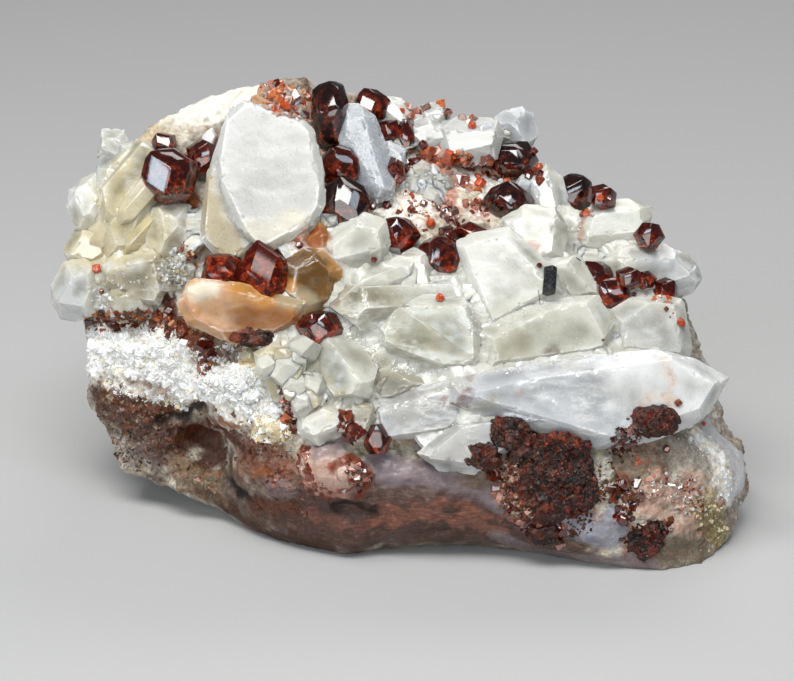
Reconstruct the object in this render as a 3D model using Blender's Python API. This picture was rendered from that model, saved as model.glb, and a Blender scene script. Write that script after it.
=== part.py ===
# Garnet on matrix: dark red garnets and milky quartz crystals grown on a block of
# feldspar and massive quartz. Lengths are in metres, +Z is up, and the block rests
# on its own broken foot at z = 0 with its long side along X.

import math

import bmesh
import bpy
from mathutils import Matrix, Vector, noise
from mathutils.bvhtree import BVHTree

MM = 0.001

# Driving dimensions
PICTURE_SCALE = 0.13 * MM
GAP = 0.3 * MM
RELIEF = 0.75 * MM
RELIEF_GRAIN = 6.0 * MM
FOOT_REACH = 0.5 * MM
BLOCK_SHARE_KEPT = 0.62
QUARTZ_ROOT = 2.5 * MM
MOST_THICK = 11.0 * MM
PLAIN_GARNET = 2.1 * MM
CAMERA_AWAY = 0.344
VIEW_TILT = math.radians(22)
VIEW_TARGET = Vector((-0.5, -3.0, 21.8)) * MM
PICTURE_MIDDLE = (397.0, 340.5)
MOST_ROWS_ABOVE = 60

# Colour and roughness of each kind of piece
FINISHES = {
    "matrix": ((0.62, 0.52, 0.46), 0.8),
    "quartz": ((0.82, 0.8, 0.72), 0.25),
    "garnet": ((0.16, 0.012, 0.008), 0.12),
    "schorl": ((0.02, 0.02, 0.022), 0.3),
}

# The directions of the photograph: to its right, up its height and into its depth
ACROSS = Vector((1, 0, 0))
UPWARD = Vector((0, math.sin(VIEW_TILT), math.cos(VIEW_TILT)))
INWARD = Vector((0, math.cos(VIEW_TILT), -math.sin(VIEW_TILT)))
EYE = VIEW_TARGET - INWARD * CAMERA_AWAY

# The block is read as slices across it. A slice has its column in the photograph,
# its foot (front, back, lift), the rows and depths of its seen side from the foot
# up to the crest, and the depths and heights of its hidden side down to the foot.
# Depths are in millimetres behind the middle plane, heights above the ground.
SLICES = (
    (88, (4, 14, 12.5), ((395, 1), (380, -1), (362, -2), (345, -1.5),
     (334, 0), (300, 3), (262, 6), (225, 9)),
     ((14, 30.5), (18, 27), (19, 21), (17, 16))),
    (102, (-1, 18, 9.5), ((425, -3), (400, -4.5), (375, -5), (350, -4.5),
     (333, -3), (305, 0), (245, 4), (178, 8)),
     ((15, 37.5), (20, 33.5), (22, 26), (21, 15.5))),
    (125, (-2.5, 20, 4), ((470, -5), (435, -6.5), (400, -7), (350, -6.5),
     (331, -4), (285, 0), (200, 5), (146, 9.5)),
     ((15, 42), (21, 38), (24, 28), (23, 13))),
    (155, (-3, 21, 2.5), ((478, -6), (445, -7.5), (405, -8.5), (348, -8),
     (330, -5.5), (280, -1.5), (200, 4.5), (125, 10)),
     ((16, 44.5), (22, 40), (25, 29), (24, 12))),
    (185, (-4.5, 21, 1.2), ((486, -8.5), (450, -5.5), (424, -6), (398, -10),
     (350, -9.5), (328, -7), (230, 1), (111, 10.5)),
     ((16.5, 46.5), (23, 42), (26, 29), (25, 12))),
    (215, (-5, 21, 0), ((503, -9), (466, -7), (432, -7), (414, -12),
     (372, -12.5), (345, -10), (240, -1.5), (92, 11.5)),
     ((17, 48.5), (24, 43), (27, 29), (26, 11))),
    (245, (-10.5, 21, 0), ((520, -13), (490, -14.5), (458, -14), (425, -15),
     (376, -15.5), (345, -12), (240, -3), (83, 12)),
     ((18, 49.5), (25, 43.5), (28, 29), (27, 10))),
    (275, (-14, 21, 0), ((530, -16.5), (495, -18), (462, -17.5), (425, -17),
     (378, -17), (337, -13), (235, -4), (76, 13)),
     ((19, 50), (26, 43.5), (29, 29), (28, 10))),
    (310, (-16.5, 21, 0), ((538, -19), (505, -19.5), (470, -20.5), (437, -19),
     (395, -17), (325, -12.5), (230, -3), (80, 14)),
     ((20, 49), (27, 42.5), (30, 28.5), (28.5, 9.5))),
    (345, (-18.5, 21, 0), ((545, -21), (508, -20.5), (472, -21.5), (440, -19.5),
     (405, -17), (330, -11.5), (232, -2), (91, 15)),
     ((21, 47.5), (28, 41), (30.5, 28), (29, 9.5))),
    (385, (-17, 21, 0), ((540, -20), (505, -21.5), (472, -20.5), (450, -18.5),
     (412, -16.5), (330, -10.5), (228, 0), (108, 16)),
     ((22, 45), (28.5, 39), (31, 27), (29, 9))),
    (430, (-16, 21, 0), ((537, -20), (502, -22), (470, -21), (450, -18.5),
     (412, -16), (325, -9.5), (222, 1.5), (114, 17)),
     ((22.5, 44), (28.5, 38), (31, 26), (29, 9))),
    (475, (-16, 21, 0), ((537, -20), (505, -22), (470, -21.5), (444, -19),
     (406, -16), (320, -8.5), (218, 3), (120, 18)),
     ((23, 43), (28.5, 37), (30.5, 25), (28.5, 8.5))),
    (520, (-17.5, 20.5, 0), ((543, -21), (505, -22.5), (470, -22), (434, -19.5),
     (402, -16), (312, -8), (235, 2), (152, 17)),
     ((22, 39), (27, 34), (29, 23), (27, 8))),
    (565, (-20, 20, 0), ((548, -22.5), (510, -23), (475, -22.5), (438, -20),
     (402, -16), (322, -8.5), (255, 0), (194, 13)),
     ((18, 34), (23, 29), (25.5, 20), (24, 7))),
    (610, (-22, 18, 0), ((555, -23.5), (515, -23), (480, -22), (447, -20),
     (407, -15.5), (335, -8), (272, -1), (222, 10)),
     ((15, 31), (20, 25.5), (22.5, 17), (21.5, 6))),
    (655, (-23, 15, 0), ((560, -23.5), (520, -23), (480, -21.5), (437, -19),
     (404, -14), (345, -7), (295, -2), (262, 6)),
     ((11, 27), (16, 22), (18.5, 15), (17.5, 5.5))),
    (693, (-21, 11, 0), ((552, -21), (515, -20.5), (475, -19), (438, -17),
     (410, -11), (370, -5), (340, -1), (320, 3)),
     ((8, 20), (12, 17), (14, 12), (13.5, 5))),
    (727, (-14.5, 7, 0.8), ((528, -16.5), (505, -17), (475, -16), (447, -14.5),
     (440, -12), (437, -9), (434, -6), (431, -3)),
     ((0, 8.5), (3, 7.5), (5.5, 6), (6.5, 3.5))),
    (743, (-11, 3, 5), ((500, -12.5), (490, -13), (475, -12.5), (460, -11.5),
     (452, -10), (449, -8), (447, -6), (445, -4)),
     ((-2, 8), (0, 7.2), (2, 6.5), (2.8, 6))),
)

# Lumps and pits of the block: column, row, radius and height in millimetres
LUMPS = (
    (338, 470, 5.5, 1.4),
    (272, 486, 5.0, 1.5),
    (198, 478, 3.6, 1.8),
    (272, 431, 3.0, 1.6),
    (236, 393, 4.6, 1.1),
    (140, 362, 5.5, 0.9),
    (203, 443, 3.4, -2.2),
    (180, 378, 1.8, -1.4),
    (348, 506, 2.6, -1.0),
    (430, 505, 7.0, 0.9),
    (552, 480, 6.0, 0.8),
    (690, 492, 6.0, 1.0),
    (645, 545, 3.5, -1.0),
    (600, 545, 4.5, 0.8),
    (285, 98, 4.0, 0.9),
    (196, 115, 4.0, 0.8),
    (140, 335, 3.0, -1.2),
    (430, 200, 5.0, 1.2),
    (455, 158, 4.0, 1.0),
)

# Ledges of the hidden side: depth, height, column, radius and step in millimetres
BACK_LEDGES = (
    (28, 34, 250, 9.0, 1.8),
    (28, 18, 330, 10.0, -1.6),
    (29, 30, 430, 8.0, 1.7),
    (27, 14, 520, 8.0, 1.4),
    (22, 20, 620, 7.0, -1.3),
    (22, 26, 150, 7.0, 1.4),
    (30, 8, 400, 7.0, -1.2),
    (18, 10, 670, 6.0, 1.2),
)


def seen(column, row, depth):
    """The point that the photograph shows at a column and row, at a depth in mm."""
    right = (column - PICTURE_MIDDLE[0]) * PICTURE_SCALE / CAMERA_AWAY
    up = (PICTURE_MIDDLE[1] - row) * PICTURE_SCALE / CAMERA_AWAY
    sight = INWARD + ACROSS * right + UPWARD * up
    return EYE + sight * ((VIEW_TARGET.y + depth * MM - EYE.y) / sight.y)


def sight_line(column, row):
    """The direction in which the photograph looks at a column and row."""
    return (seen(column, row, 0) - EYE).normalized()


def met(ground, column, row):
    """Where a line of sight meets the ground, or where it passes just above it."""
    for lower in range(MOST_ROWS_ABOVE):
        place = ground.ray_cast(EYE, sight_line(column, row + lower))[0]
        if place:
            return seen(column, row, (place.y - VIEW_TARGET.y) / MM)
    raise ValueError(f"nothing lies under column {column}, row {row}")


def new_object(name, bm, collection):
    """An object of the collection that holds a finished bmesh."""
    bmesh.ops.recalc_face_normals(bm, faces=bm.faces)
    mesh = bpy.data.meshes.new(name)
    bm.to_mesh(mesh)
    bm.free()
    piece = bpy.data.objects.new(name, mesh)
    collection.objects.link(piece)
    return piece


def slice_points(column, foot, front, back):
    """One closed slice of the block, from its front foot over the crest to its back foot."""
    front_foot, back_foot, lift = foot
    side = seen(column, PICTURE_MIDDLE[1], 0).x
    points = [Vector((side, VIEW_TARGET.y + front_foot * MM, lift * MM))]
    points += [seen(column, row, depth) for row, depth in front]
    points += [Vector((side, VIEW_TARGET.y + depth * MM, height * MM)) for depth, height in back]
    points.append(Vector((side, VIEW_TARGET.y + back_foot * MM, lift * MM)))
    return points


def bulge(point, centre, radius, height):
    """How far a lump or a pit at centre moves a point of the surface."""
    share = (point - centre).length / radius
    return height * (1 - share * share) ** 2 if share < 1 else 0.0


def block_mesh():
    """The broken block: a loft through its slices, split finer and roughened."""
    bm = bmesh.new()
    rings = [[bm.verts.new(p) for p in slice_points(*data)] for data in SLICES]
    count = len(rings[0])
    for ring, following in zip(rings, rings[1:]):
        for i in range(count):
            j = (i + 1) % count
            bm.faces.new((ring[i], ring[j], following[j], following[i]))
    bm.faces.new(rings[0])
    bm.faces.new(reversed(rings[-1]))
    bmesh.ops.recalc_face_normals(bm, faces=bm.faces)
    ends = [face for face in bm.faces if len(face.verts) == count]
    bmesh.ops.poke(bm, faces=ends)
    bmesh.ops.subdivide_edges(bm, edges=bm.edges, cuts=1, use_grid_fill=True)
    bmesh.ops.triangulate(bm, faces=bm.faces)
    roughen(bm)
    return bm


def roughen(bm):
    """Moves each point of the block along its normal, by lumps, ledges and rough relief."""
    bm.normal_update()
    tree = BVHTree.FromBMesh(bm)
    bumps = []
    for column, row, radius, height in LUMPS:
        centre = tree.ray_cast(EYE, sight_line(column, row))[0]
        bumps.append((centre, radius * MM, height * MM))
    for depth, height, column, radius, step in BACK_LEDGES:
        side = seen(column, PICTURE_MIDDLE[1], 0).x
        place = Vector((side, VIEW_TARGET.y + depth * MM, height * MM))
        bumps.append((tree.find_nearest(place)[0], radius * MM, step * MM))
    moved = {}
    for vert in bm.verts:
        grain = (vert.co - VIEW_TARGET) / RELIEF_GRAIN
        rough = noise.fractal(grain, 1.0, 2.0, 3) + 0.6 * (noise.voronoi(grain)[0][0] - 0.4)
        push = RELIEF * rough + sum(bulge(vert.co, *bump) for bump in bumps)
        low = min(max((vert.co.z - 0.4 * MM) / (4 * MM), 0), 1)
        moved[vert] = vert.co + vert.normal * push * low
    for vert, place in moved.items():
        vert.co = place
        if place.z < FOOT_REACH:
            vert.co.z = 0.0


def carve(faces, middle, reach, swell=0.0):
    """A crystal cut from a block by its flat faces, given as (point, outward normal)."""
    bm = bmesh.new()
    bmesh.ops.create_cube(bm, size=2 * reach, matrix=Matrix.Translation(middle))
    for point, normal in faces:
        geometry = bm.verts[:] + bm.edges[:] + bm.faces[:]
        place = point + normal * swell
        cut = bmesh.ops.bisect_plane(
            bm, geom=geometry, dist=1e-7, plane_co=place, plane_no=normal, clear_outer=True
        )
        rim = [part for part in cut["geom_cut"] if isinstance(part, bmesh.types.BMEdge)]
        if len(rim) > 2:
            bmesh.ops.edgeloop_fill(bm, edges=rim)
    return bm


def slab_faces(
    ground, outline, lift=1.0, depth=None, yaw=0, pitch=10, rise=1.2, bevel=40, taper=12
):
    """A stout crystal seen on its broad face, as (faces, middle, reach).

    The outline is in columns and rows, clockwise from the viewer. The broad face is
    turned by yaw and pitch degrees from the line of sight. The outline stands lift mm
    before the ground at its lowest corner, or at a given depth where no ground lies
    behind it, and the broad face rises before it. Side faces slope by about bevel.
    """
    column = sum(corner[0] for corner in outline) / len(outline)
    row = sum(corner[1] for corner in outline) / len(outline)
    turn = Matrix.Rotation(math.radians(yaw), 3, "Z")
    turn = turn @ Matrix.Rotation(math.radians(-pitch), 3, "X")
    facing = turn @ -INWARD
    sight = sight_line(column, row)
    shares = [sight.dot(facing) / sight_line(*corner).dot(facing) for corner in outline]
    reaches = [ground.ray_cast(EYE, sight_line(*corner))[3] for corner in outline]
    hits = [(far, share) for far, share in zip(reaches, shares) if far]
    if depth is None:
        away = min((far - lift * MM) / share for far, share in hits)
    else:
        away = (seen(column, row, depth) - EYE).length
    rootless = [far - away * share for far, share in hits] or [QUARTZ_ROOT]
    thick = min(max(max(rootless), QUARTZ_ROOT) + QUARTZ_ROOT, MOST_THICK)
    middle = EYE + sight * away
    rim = [EYE + sight_line(*c) * away * share for c, share in zip(outline, shares)]
    faces = [(middle + facing * rise * MM, facing)]
    lean = math.radians(taper)
    for i, (start, end) in enumerate(zip(rim, rim[1:] + rim[:1])):
        outward = (end - start).cross(-INWARD).normalized()
        if outward.dot(middle - start) > 0:
            outward.negate()
        slope = math.radians(bevel + 14 * math.sin(2.3 * i + column))
        bevelled = outward * math.cos(slope) + facing * math.sin(slope)
        faces.append((start, bevelled.normalized()))
        faces.append((start, (outward * math.cos(lean) + INWARD * math.sin(lean)).normalized()))
    faces.append((middle + INWARD * thick, INWARD))
    width = max((corner - middle).length for corner in rim)
    return faces, middle, 2 * (width + thick + rise * MM)


def point_faces(ground, foot, tip, width, flat=0.8, roll=0, steep=48, lopsided=0.12):
    """A six-sided quartz point from foot to tip, as (faces, middle, reach).

    Foot and tip are (column, row, lift before the ground in mm), width is in mm
    across the prism, flat is its thickness against its width, and roll turns it
    about its axis in degrees.
    """
    start = met(ground, *foot[:2]) - INWARD * foot[2] * MM
    end = met(ground, *tip[:2]) - INWARD * tip[2] * MM
    axis = (end - start).normalized()
    side = axis.cross(INWARD).normalized()
    front = side.cross(axis)
    middle = (start + end) / 2
    faces = [(start, -axis)]
    lean = math.radians(steep)
    for i in range(6):
        angle = math.radians(60 * i + roll)
        uneven = 1 + lopsided * math.sin(2.1 * i + foot[0])
        normal = (side * math.cos(angle) + front * math.sin(angle) / flat).normalized()
        reach = 0.5 * width * MM * uneven
        reach *= math.hypot(math.cos(angle), flat * math.sin(angle))
        faces.append((middle + normal * reach, normal))
        top = (normal * math.sin(lean) + axis * math.cos(lean)).normalized()
        back_off = 0.09 * width * MM * (1 + math.sin(1.7 * i + foot[1]))
        faces.append((end - axis * back_off, top))
    return faces, middle, (end - start).length + width * MM


def garnet_faces(ground, column, row, wide, high, depth=None, sink=0.35, facet=(0, 0), spin=0):
    """A garnet, twelve rhombs with their edges cut off, as (faces, middle, reach).

    Wide and high are in picture points. It sits on what the line of sight meets
    first, sunk by a share of its radius, and turns one rhomb to the viewer's side
    given by facet, a pair of shares of its radius.
    """
    radius = 0.25 * (wide + high) * PICTURE_SCALE
    sight = sight_line(column, row)
    if depth is None:
        middle = met(ground, column, row) - sight * radius * (1 - sink)
    else:
        middle = seen(column, row, depth)
    toward = max(0.2, 1 - facet[0] ** 2 - facet[1] ** 2) ** 0.5
    aim = (ACROSS * facet[0] + UPWARD * facet[1] - INWARD * toward).normalized()
    rhomb = Vector((1, 1, 0)).normalized()
    turn = Matrix.Rotation(math.radians(spin), 3, aim) @ rhomb.rotation_difference(aim).to_matrix()
    stretch_x = wide / (wide + high) * 2
    stretch_up = high / (wide + high) * 2
    faces = []
    for normal, reach in garnet_habit(column + row, radius < PLAIN_GARNET):
        normal = turn @ normal
        point = middle + normal * radius * reach
        offset = point - middle
        offset = (
            ACROSS * offset.dot(ACROSS) * stretch_x
            + UPWARD * offset.dot(UPWARD) * stretch_up
            + INWARD * offset.dot(INWARD)
        )
        bent = (
            ACROSS * normal.dot(ACROSS) / stretch_x
            + UPWARD * normal.dot(UPWARD) / stretch_up
            + INWARD * normal.dot(INWARD)
        )
        faces.append((middle + offset, bent.normalized()))
    return faces, middle, 3 * radius


def garnet_habit(seed, plain):
    """The normals of a garnet's faces, each with its distance for a radius of 1."""
    habit = []
    for i in range(3):
        for a in (-1, 1):
            for b in (-1, 1):
                normal = Vector((0, 0, 0))
                normal[i] = a
                normal[(i + 1) % 3] = b
                step = math.sin(3.1 * i + 1.3 * a + 2.2 * b + seed)
                habit.append((normal.normalized(), 0.91 + 0.035 * step))
                if plain:
                    continue
                for c in (-1, 1):
                    kite = Vector((0, 0, 0))
                    kite[i] = 2 * a
                    kite[(i + 1) % 3] = b
                    kite[(i + 2) % 3] = c
                    step = math.sin(1.9 * i + 2.7 * a + 1.1 * b + 3.3 * c + seed)
                    habit.append((kite.normalized(), 0.955 + 0.03 * step))
    return habit


# Quartz crystals, by node. S is a slab with its outline and lift, P is a point with
# its foot, tip and width.
QUARTZ = {
    "quartz_plates": (
        ("S", ((243, 103), (262, 104), (283, 112), (301, 121), (314, 135), (319, 160),
               (323, 190), (321, 207), (310, 224), (290, 238), (269, 249), (256, 243),
               (240, 227), (229, 205), (220, 180), (218, 155), (222, 132), (231, 114)), 3.0,
         dict(pitch=14, yaw=-3, rise=0.7, bevel=38, taper=22)),
        ("S", ((222, 91), (229, 97), (240, 125), (262, 200), (264, 240), (243, 256), (221, 257),
               (206, 243), (198, 226), (199, 204), (209, 172), (213, 118)), 1.4,
         dict(pitch=14, yaw=-14, rise=0.8, bevel=34)),
    ),
    "quartz_lobe_upper": (
        ("S", ((84, 180), (97, 173), (105, 186), (105, 207), (98, 222), (84, 230), (76, 225),
               (69, 208), (71, 191)), 0, dict(depth=4.5, yaw=-18, pitch=6, rise=1.6, bevel=36)),
    ),
    "quartz_lobe_middle": (
        ("S", ((77, 231), (92, 226), (106, 236), (107, 258), (92, 269), (72, 266), (65, 250)),
         0, dict(depth=2.5, yaw=-24, pitch=4, rise=1.4, bevel=36)),
    ),
    "quartz_lobe_lower": (
        ("S", ((66, 264), (84, 261), (100, 270), (104, 290), (96, 311), (77, 320), (63, 318),
               (54, 303), (54, 285)), 0, dict(depth=-1, yaw=-20, pitch=-4, rise=1.7, bevel=38)),
    ),
    "quartz_tip_left": (
        ("S", ((101, 138), (104, 131), (123, 133), (128, 152), (114, 165), (99, 158)), 0,
         dict(depth=9, yaw=-20, pitch=20, rise=1.0)),
    ),
    "quartz_cluster_left": (
        ("S", ((99, 162), (120, 142), (150, 146), (166, 172), (152, 194), (126, 208),
               (103, 210), (97, 184)), 1.2, dict(yaw=-14, pitch=16, rise=1.6)),
        ("P", (160, 160, 1.5), (102, 232, 3.6), 6.2, dict(flat=0.75, roll=20)),
        ("S", ((105, 224), (128, 192), (147, 185), (157, 205), (154, 235), (149, 249),
               (130, 256), (106, 259), (101, 244)), 1.8,
         dict(yaw=-12, pitch=-8, rise=1.4, bevel=48)),
        ("S", ((153, 208), (170, 202), (185, 208), (189, 226), (184, 246), (175, 258),
               (160, 261), (149, 248), (148, 226)), 1.2, dict(yaw=8, pitch=2, rise=1.6)),
        ("S", ((103, 262), (130, 257), (150, 251), (164, 262), (168, 285), (158, 304),
               (130, 302), (107, 290)), 0.8, dict(yaw=-6, pitch=-12, rise=1.0)),
        ("S", ((105, 296), (125, 286), (146, 292), (152, 311), (130, 320), (109, 316)), 0.8,
         dict(pitch=-14, rise=0.9)),
        ("S", ((160, 262), (180, 255), (193, 268), (186, 287), (164, 288)), 0.7,
         dict(yaw=10, rise=1.0)),
    ),
    "quartz_amber": (
        ("S", ((180, 302), (190, 284), (206, 277), (246, 286), (292, 290), (311, 300),
               (297, 321), (262, 340), (230, 341), (204, 328), (186, 319)), 1.6,
         dict(pitch=-12, yaw=4, rise=0.9, bevel=44)),
        ("S", ((284, 262), (303, 250), (322, 252), (340, 270), (338, 291), (326, 312),
               (305, 318), (290, 302), (281, 282)), 1.2,
         dict(pitch=8, yaw=12, rise=1.3, bevel=40)),
        ("S", ((302, 236), (312, 227), (321, 223), (329, 238), (329, 258), (315, 265),
               (303, 255)), 0.8, dict(pitch=8, rise=0.8)),
    ),
    "quartz_block_upper": (
        ("S", ((322, 242), (345, 223), (365, 215), (384, 222), (388, 245), (377, 263),
               (351, 269), (335, 267), (322, 256)), 1.3,
         dict(pitch=2, yaw=-8, rise=1.3, bevel=40)),
    ),
    "quartz_white_blade": (
        ("S", ((347, 106), (357, 106), (373, 118), (385, 150), (393, 178), (391, 196),
               (378, 201), (366, 189), (352, 168), (341, 150), (341, 128)), 1.5,
         dict(pitch=16, yaw=8, rise=1.2, bevel=42)),
        ("S", ((374, 150), (390, 142), (403, 152), (403, 170), (391, 180), (378, 170)), 0.9,
         dict(pitch=18, rise=0.8)),
    ),
    "quartz_twin_points": (
        ("P", (445, 303, 1.0), (328, 308, 4.2), 5.4, dict(flat=0.85, roll=8, steep=50)),
        ("S", ((359, 277), (369, 264), (396, 258), (413, 262), (413, 284), (366, 286)), 1.6,
         dict(pitch=14, yaw=-10, rise=1.0, bevel=36)),
        ("P", (426, 322, 1.0), (412, 246, 2.4), 4.2, dict(flat=0.9, roll=30, steep=42)),
    ),
    "quartz_block_centre": (
        ("S", ((386, 312), (393, 300), (425, 297), (462, 299), (471, 310), (479, 331),
               (480, 356), (470, 369), (455, 373), (438, 367), (415, 368), (398, 358),
               (382, 342), (379, 325)), 2.6,
         dict(pitch=6, yaw=3, rise=1.2, bevel=34, taper=16)),
        ("S", ((426, 275), (462, 274), (470, 300), (480, 340), (470, 350), (436, 330)), 2.0,
         dict(pitch=20, yaw=10, rise=1.0, bevel=40)),
    ),
    "quartz_diagonal": (
        ("P", (322, 342, 0.5), (372, 403, 3.0), 5.4, dict(flat=0.85, roll=14, steep=40)),
    ),
    "quartz_olive_block": (
        ("S", ((340, 330), (386, 320), (396, 345), (390, 358), (362, 357), (343, 347)), 0.8,
         dict(pitch=6, rise=0.9)),
    ),
    "quartz_olive_wedge": (
        ("S", ((368, 371), (395, 365), (429, 384), (404, 396), (374, 400)), 1.2,
         dict(pitch=10, rise=0.9)),
    ),
    "quartz_grey_column": (
        ("S", ((342, 410), (352, 400), (371, 401), (377, 420), (369, 441), (355, 447),
               (343, 431)), 0.9, dict(pitch=2, rise=1.0)),
    ),
    "quartz_centre_mass": (
        ("S", ((455, 244), (472, 236), (508, 230), (530, 250), (556, 276), (566, 300),
               (530, 313), (497, 331), (484, 329), (474, 300), (462, 270)), 1.8,
         dict(pitch=12, yaw=-8, rise=1.5, bevel=32)),
        ("S", ((503, 220), (524, 207), (553, 209), (565, 228), (562, 256), (541, 268),
               (519, 262), (506, 245)), 2.2,
         dict(pitch=18, yaw=6, rise=1.6, bevel=38)),
        ("S", ((482, 331), (520, 311), (560, 301), (597, 297), (611, 324), (604, 352),
               (560, 365), (512, 372), (483, 370)), 1.8,
         dict(pitch=6, yaw=6, rise=1.6, bevel=36)),
        ("S", ((545, 262), (576, 256), (593, 275), (600, 299), (566, 306), (548, 288)), 1.4,
         dict(pitch=12, yaw=14, rise=1.3)),
        ("S", ((580, 322), (606, 322), (617, 350), (602, 359), (582, 356)), 1.2,
         dict(pitch=4, yaw=12, rise=0.9)),
        ("S", ((451, 346), (478, 338), (502, 350), (500, 376), (470, 381), (450, 374)), 1.2,
         dict(pitch=4, rise=0.9)),
    ),
    "quartz_right_upper": (
        ("S", ((576, 224), (590, 208), (606, 203), (628, 201), (650, 209), (654, 224),
               (643, 238), (640, 247), (610, 250), (582, 247), (572, 236)), 1.6,
         dict(pitch=14, yaw=8, rise=1.6, bevel=38)),
        ("S", ((552, 218), (565, 206), (584, 216), (582, 238), (562, 244), (551, 232)), 1.0,
         dict(pitch=14, rise=1.0)),
    ),
    "quartz_right_behind": (
        ("S", ((528, 178), (546, 165), (560, 178), (568, 212), (547, 218), (532, 212),
               (525, 192)), 1.0, dict(pitch=16, rise=1.2)),
    ),
    "quartz_right_lobe": (
        ("S", ((604, 262), (622, 248), (645, 246), (664, 246), (684, 255), (695, 266),
               (699, 279), (690, 291), (672, 297), (642, 296), (614, 286)), 1.6,
         dict(pitch=12, yaw=14, rise=1.8, bevel=36)),
    ),
    "quartz_right_middle": (
        ("S", ((612, 312), (628, 301), (656, 297), (684, 301), (688, 316), (694, 327),
               (689, 346), (692, 364), (650, 362), (618, 358)), 1.6,
         dict(pitch=6, yaw=14, rise=1.6, bevel=36)),
        ("S", ((676, 303), (689, 301), (695, 307), (692, 314), (683, 316), (676, 312)), 1.0,
         dict(rise=0.8)),
    ),
    "quartz_long_point": (
        ("S", ((452, 381), (500, 371), (560, 361), (606, 356), (650, 350), (693, 361),
               (726, 379), (705, 413), (689, 425), (640, 441), (598, 446), (540, 431),
               (480, 414), (452, 401)), 1.0,
         dict(pitch=8, yaw=6, rise=2.0, bevel=30, taper=14)),
        ("S", ((372, 408), (398, 396), (430, 386), (470, 377), (504, 396), (498, 422),
               (456, 429), (421, 455), (394, 463), (377, 442)), 1.2,
         dict(pitch=4, yaw=-5, rise=1.4, bevel=34)),
        ("S", ((420, 453), (455, 426), (500, 418), (522, 430), (508, 448), (474, 472),
               (440, 468)), 1.2, dict(pitch=-4, rise=1.2, bevel=34)),
        ("S", ((496, 398), (515, 392), (545, 394), (564, 404), (558, 420), (524, 423),
               (500, 418)), 3.2, dict(pitch=2, rise=1.0, bevel=34)),
    ),
    "quartz_back_crystals": (
        ("S", ((434, 130), (458, 119), (496, 121), (500, 138), (494, 158), (468, 164),
               (442, 155)), 1.2, dict(pitch=18, rise=1.4, bevel=40)),
        ("S", ((412, 124), (430, 118), (446, 130), (444, 148), (424, 151), (411, 138)), 1.0,
         dict(pitch=16, rise=1.0)),
        ("S", ((423, 107), (441, 102), (447, 118), (440, 132), (425, 128)), 1.0,
         dict(pitch=16, rise=1.0)),
    ),
    "quartz_crest": (
        ("S", ((379, 104), (388, 99), (400, 101), (413, 116), (398, 130), (384, 120)), 1.0,
         dict(pitch=20, rise=1.0)),
    ),
    "quartz_back_cube": (
        ("S", ((496, 118), (505, 113), (522, 109), (531, 115), (535, 136), (528, 149),
               (512, 150), (498, 136)), 0,
         dict(depth=18, pitch=14, yaw=6, rise=1.5, bevel=42)),
    ),
    "quartz_cream_low": (
        ("S", ((256, 354), (272, 346), (288, 351), (297, 368), (281, 381), (260, 376)), 1.0,
         dict(pitch=8, rise=0.9)),
        ("S", ((284, 350), (303, 338), (316, 350), (309, 370), (288, 370)), 1.0,
         dict(pitch=12, rise=0.9)),
        ("S", ((303, 344), (322, 337), (341, 347), (334, 366), (308, 366)), 0.9,
         dict(pitch=10, rise=0.8)),
    ),
    "quartz_fan": (
        ("S", ((284, 385), (296, 371), (312, 372), (322, 392), (314, 411), (296, 415),
               (284, 400)), 1.1, dict(pitch=4, rise=1.0)),
    ),
    "quartz_bluish_low": (
        ("S", ((298, 412), (322, 401), (344, 411), (343, 433), (319, 443), (300, 431)), 1.0,
         dict(pitch=2, rise=1.0)),
    ),
}

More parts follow.
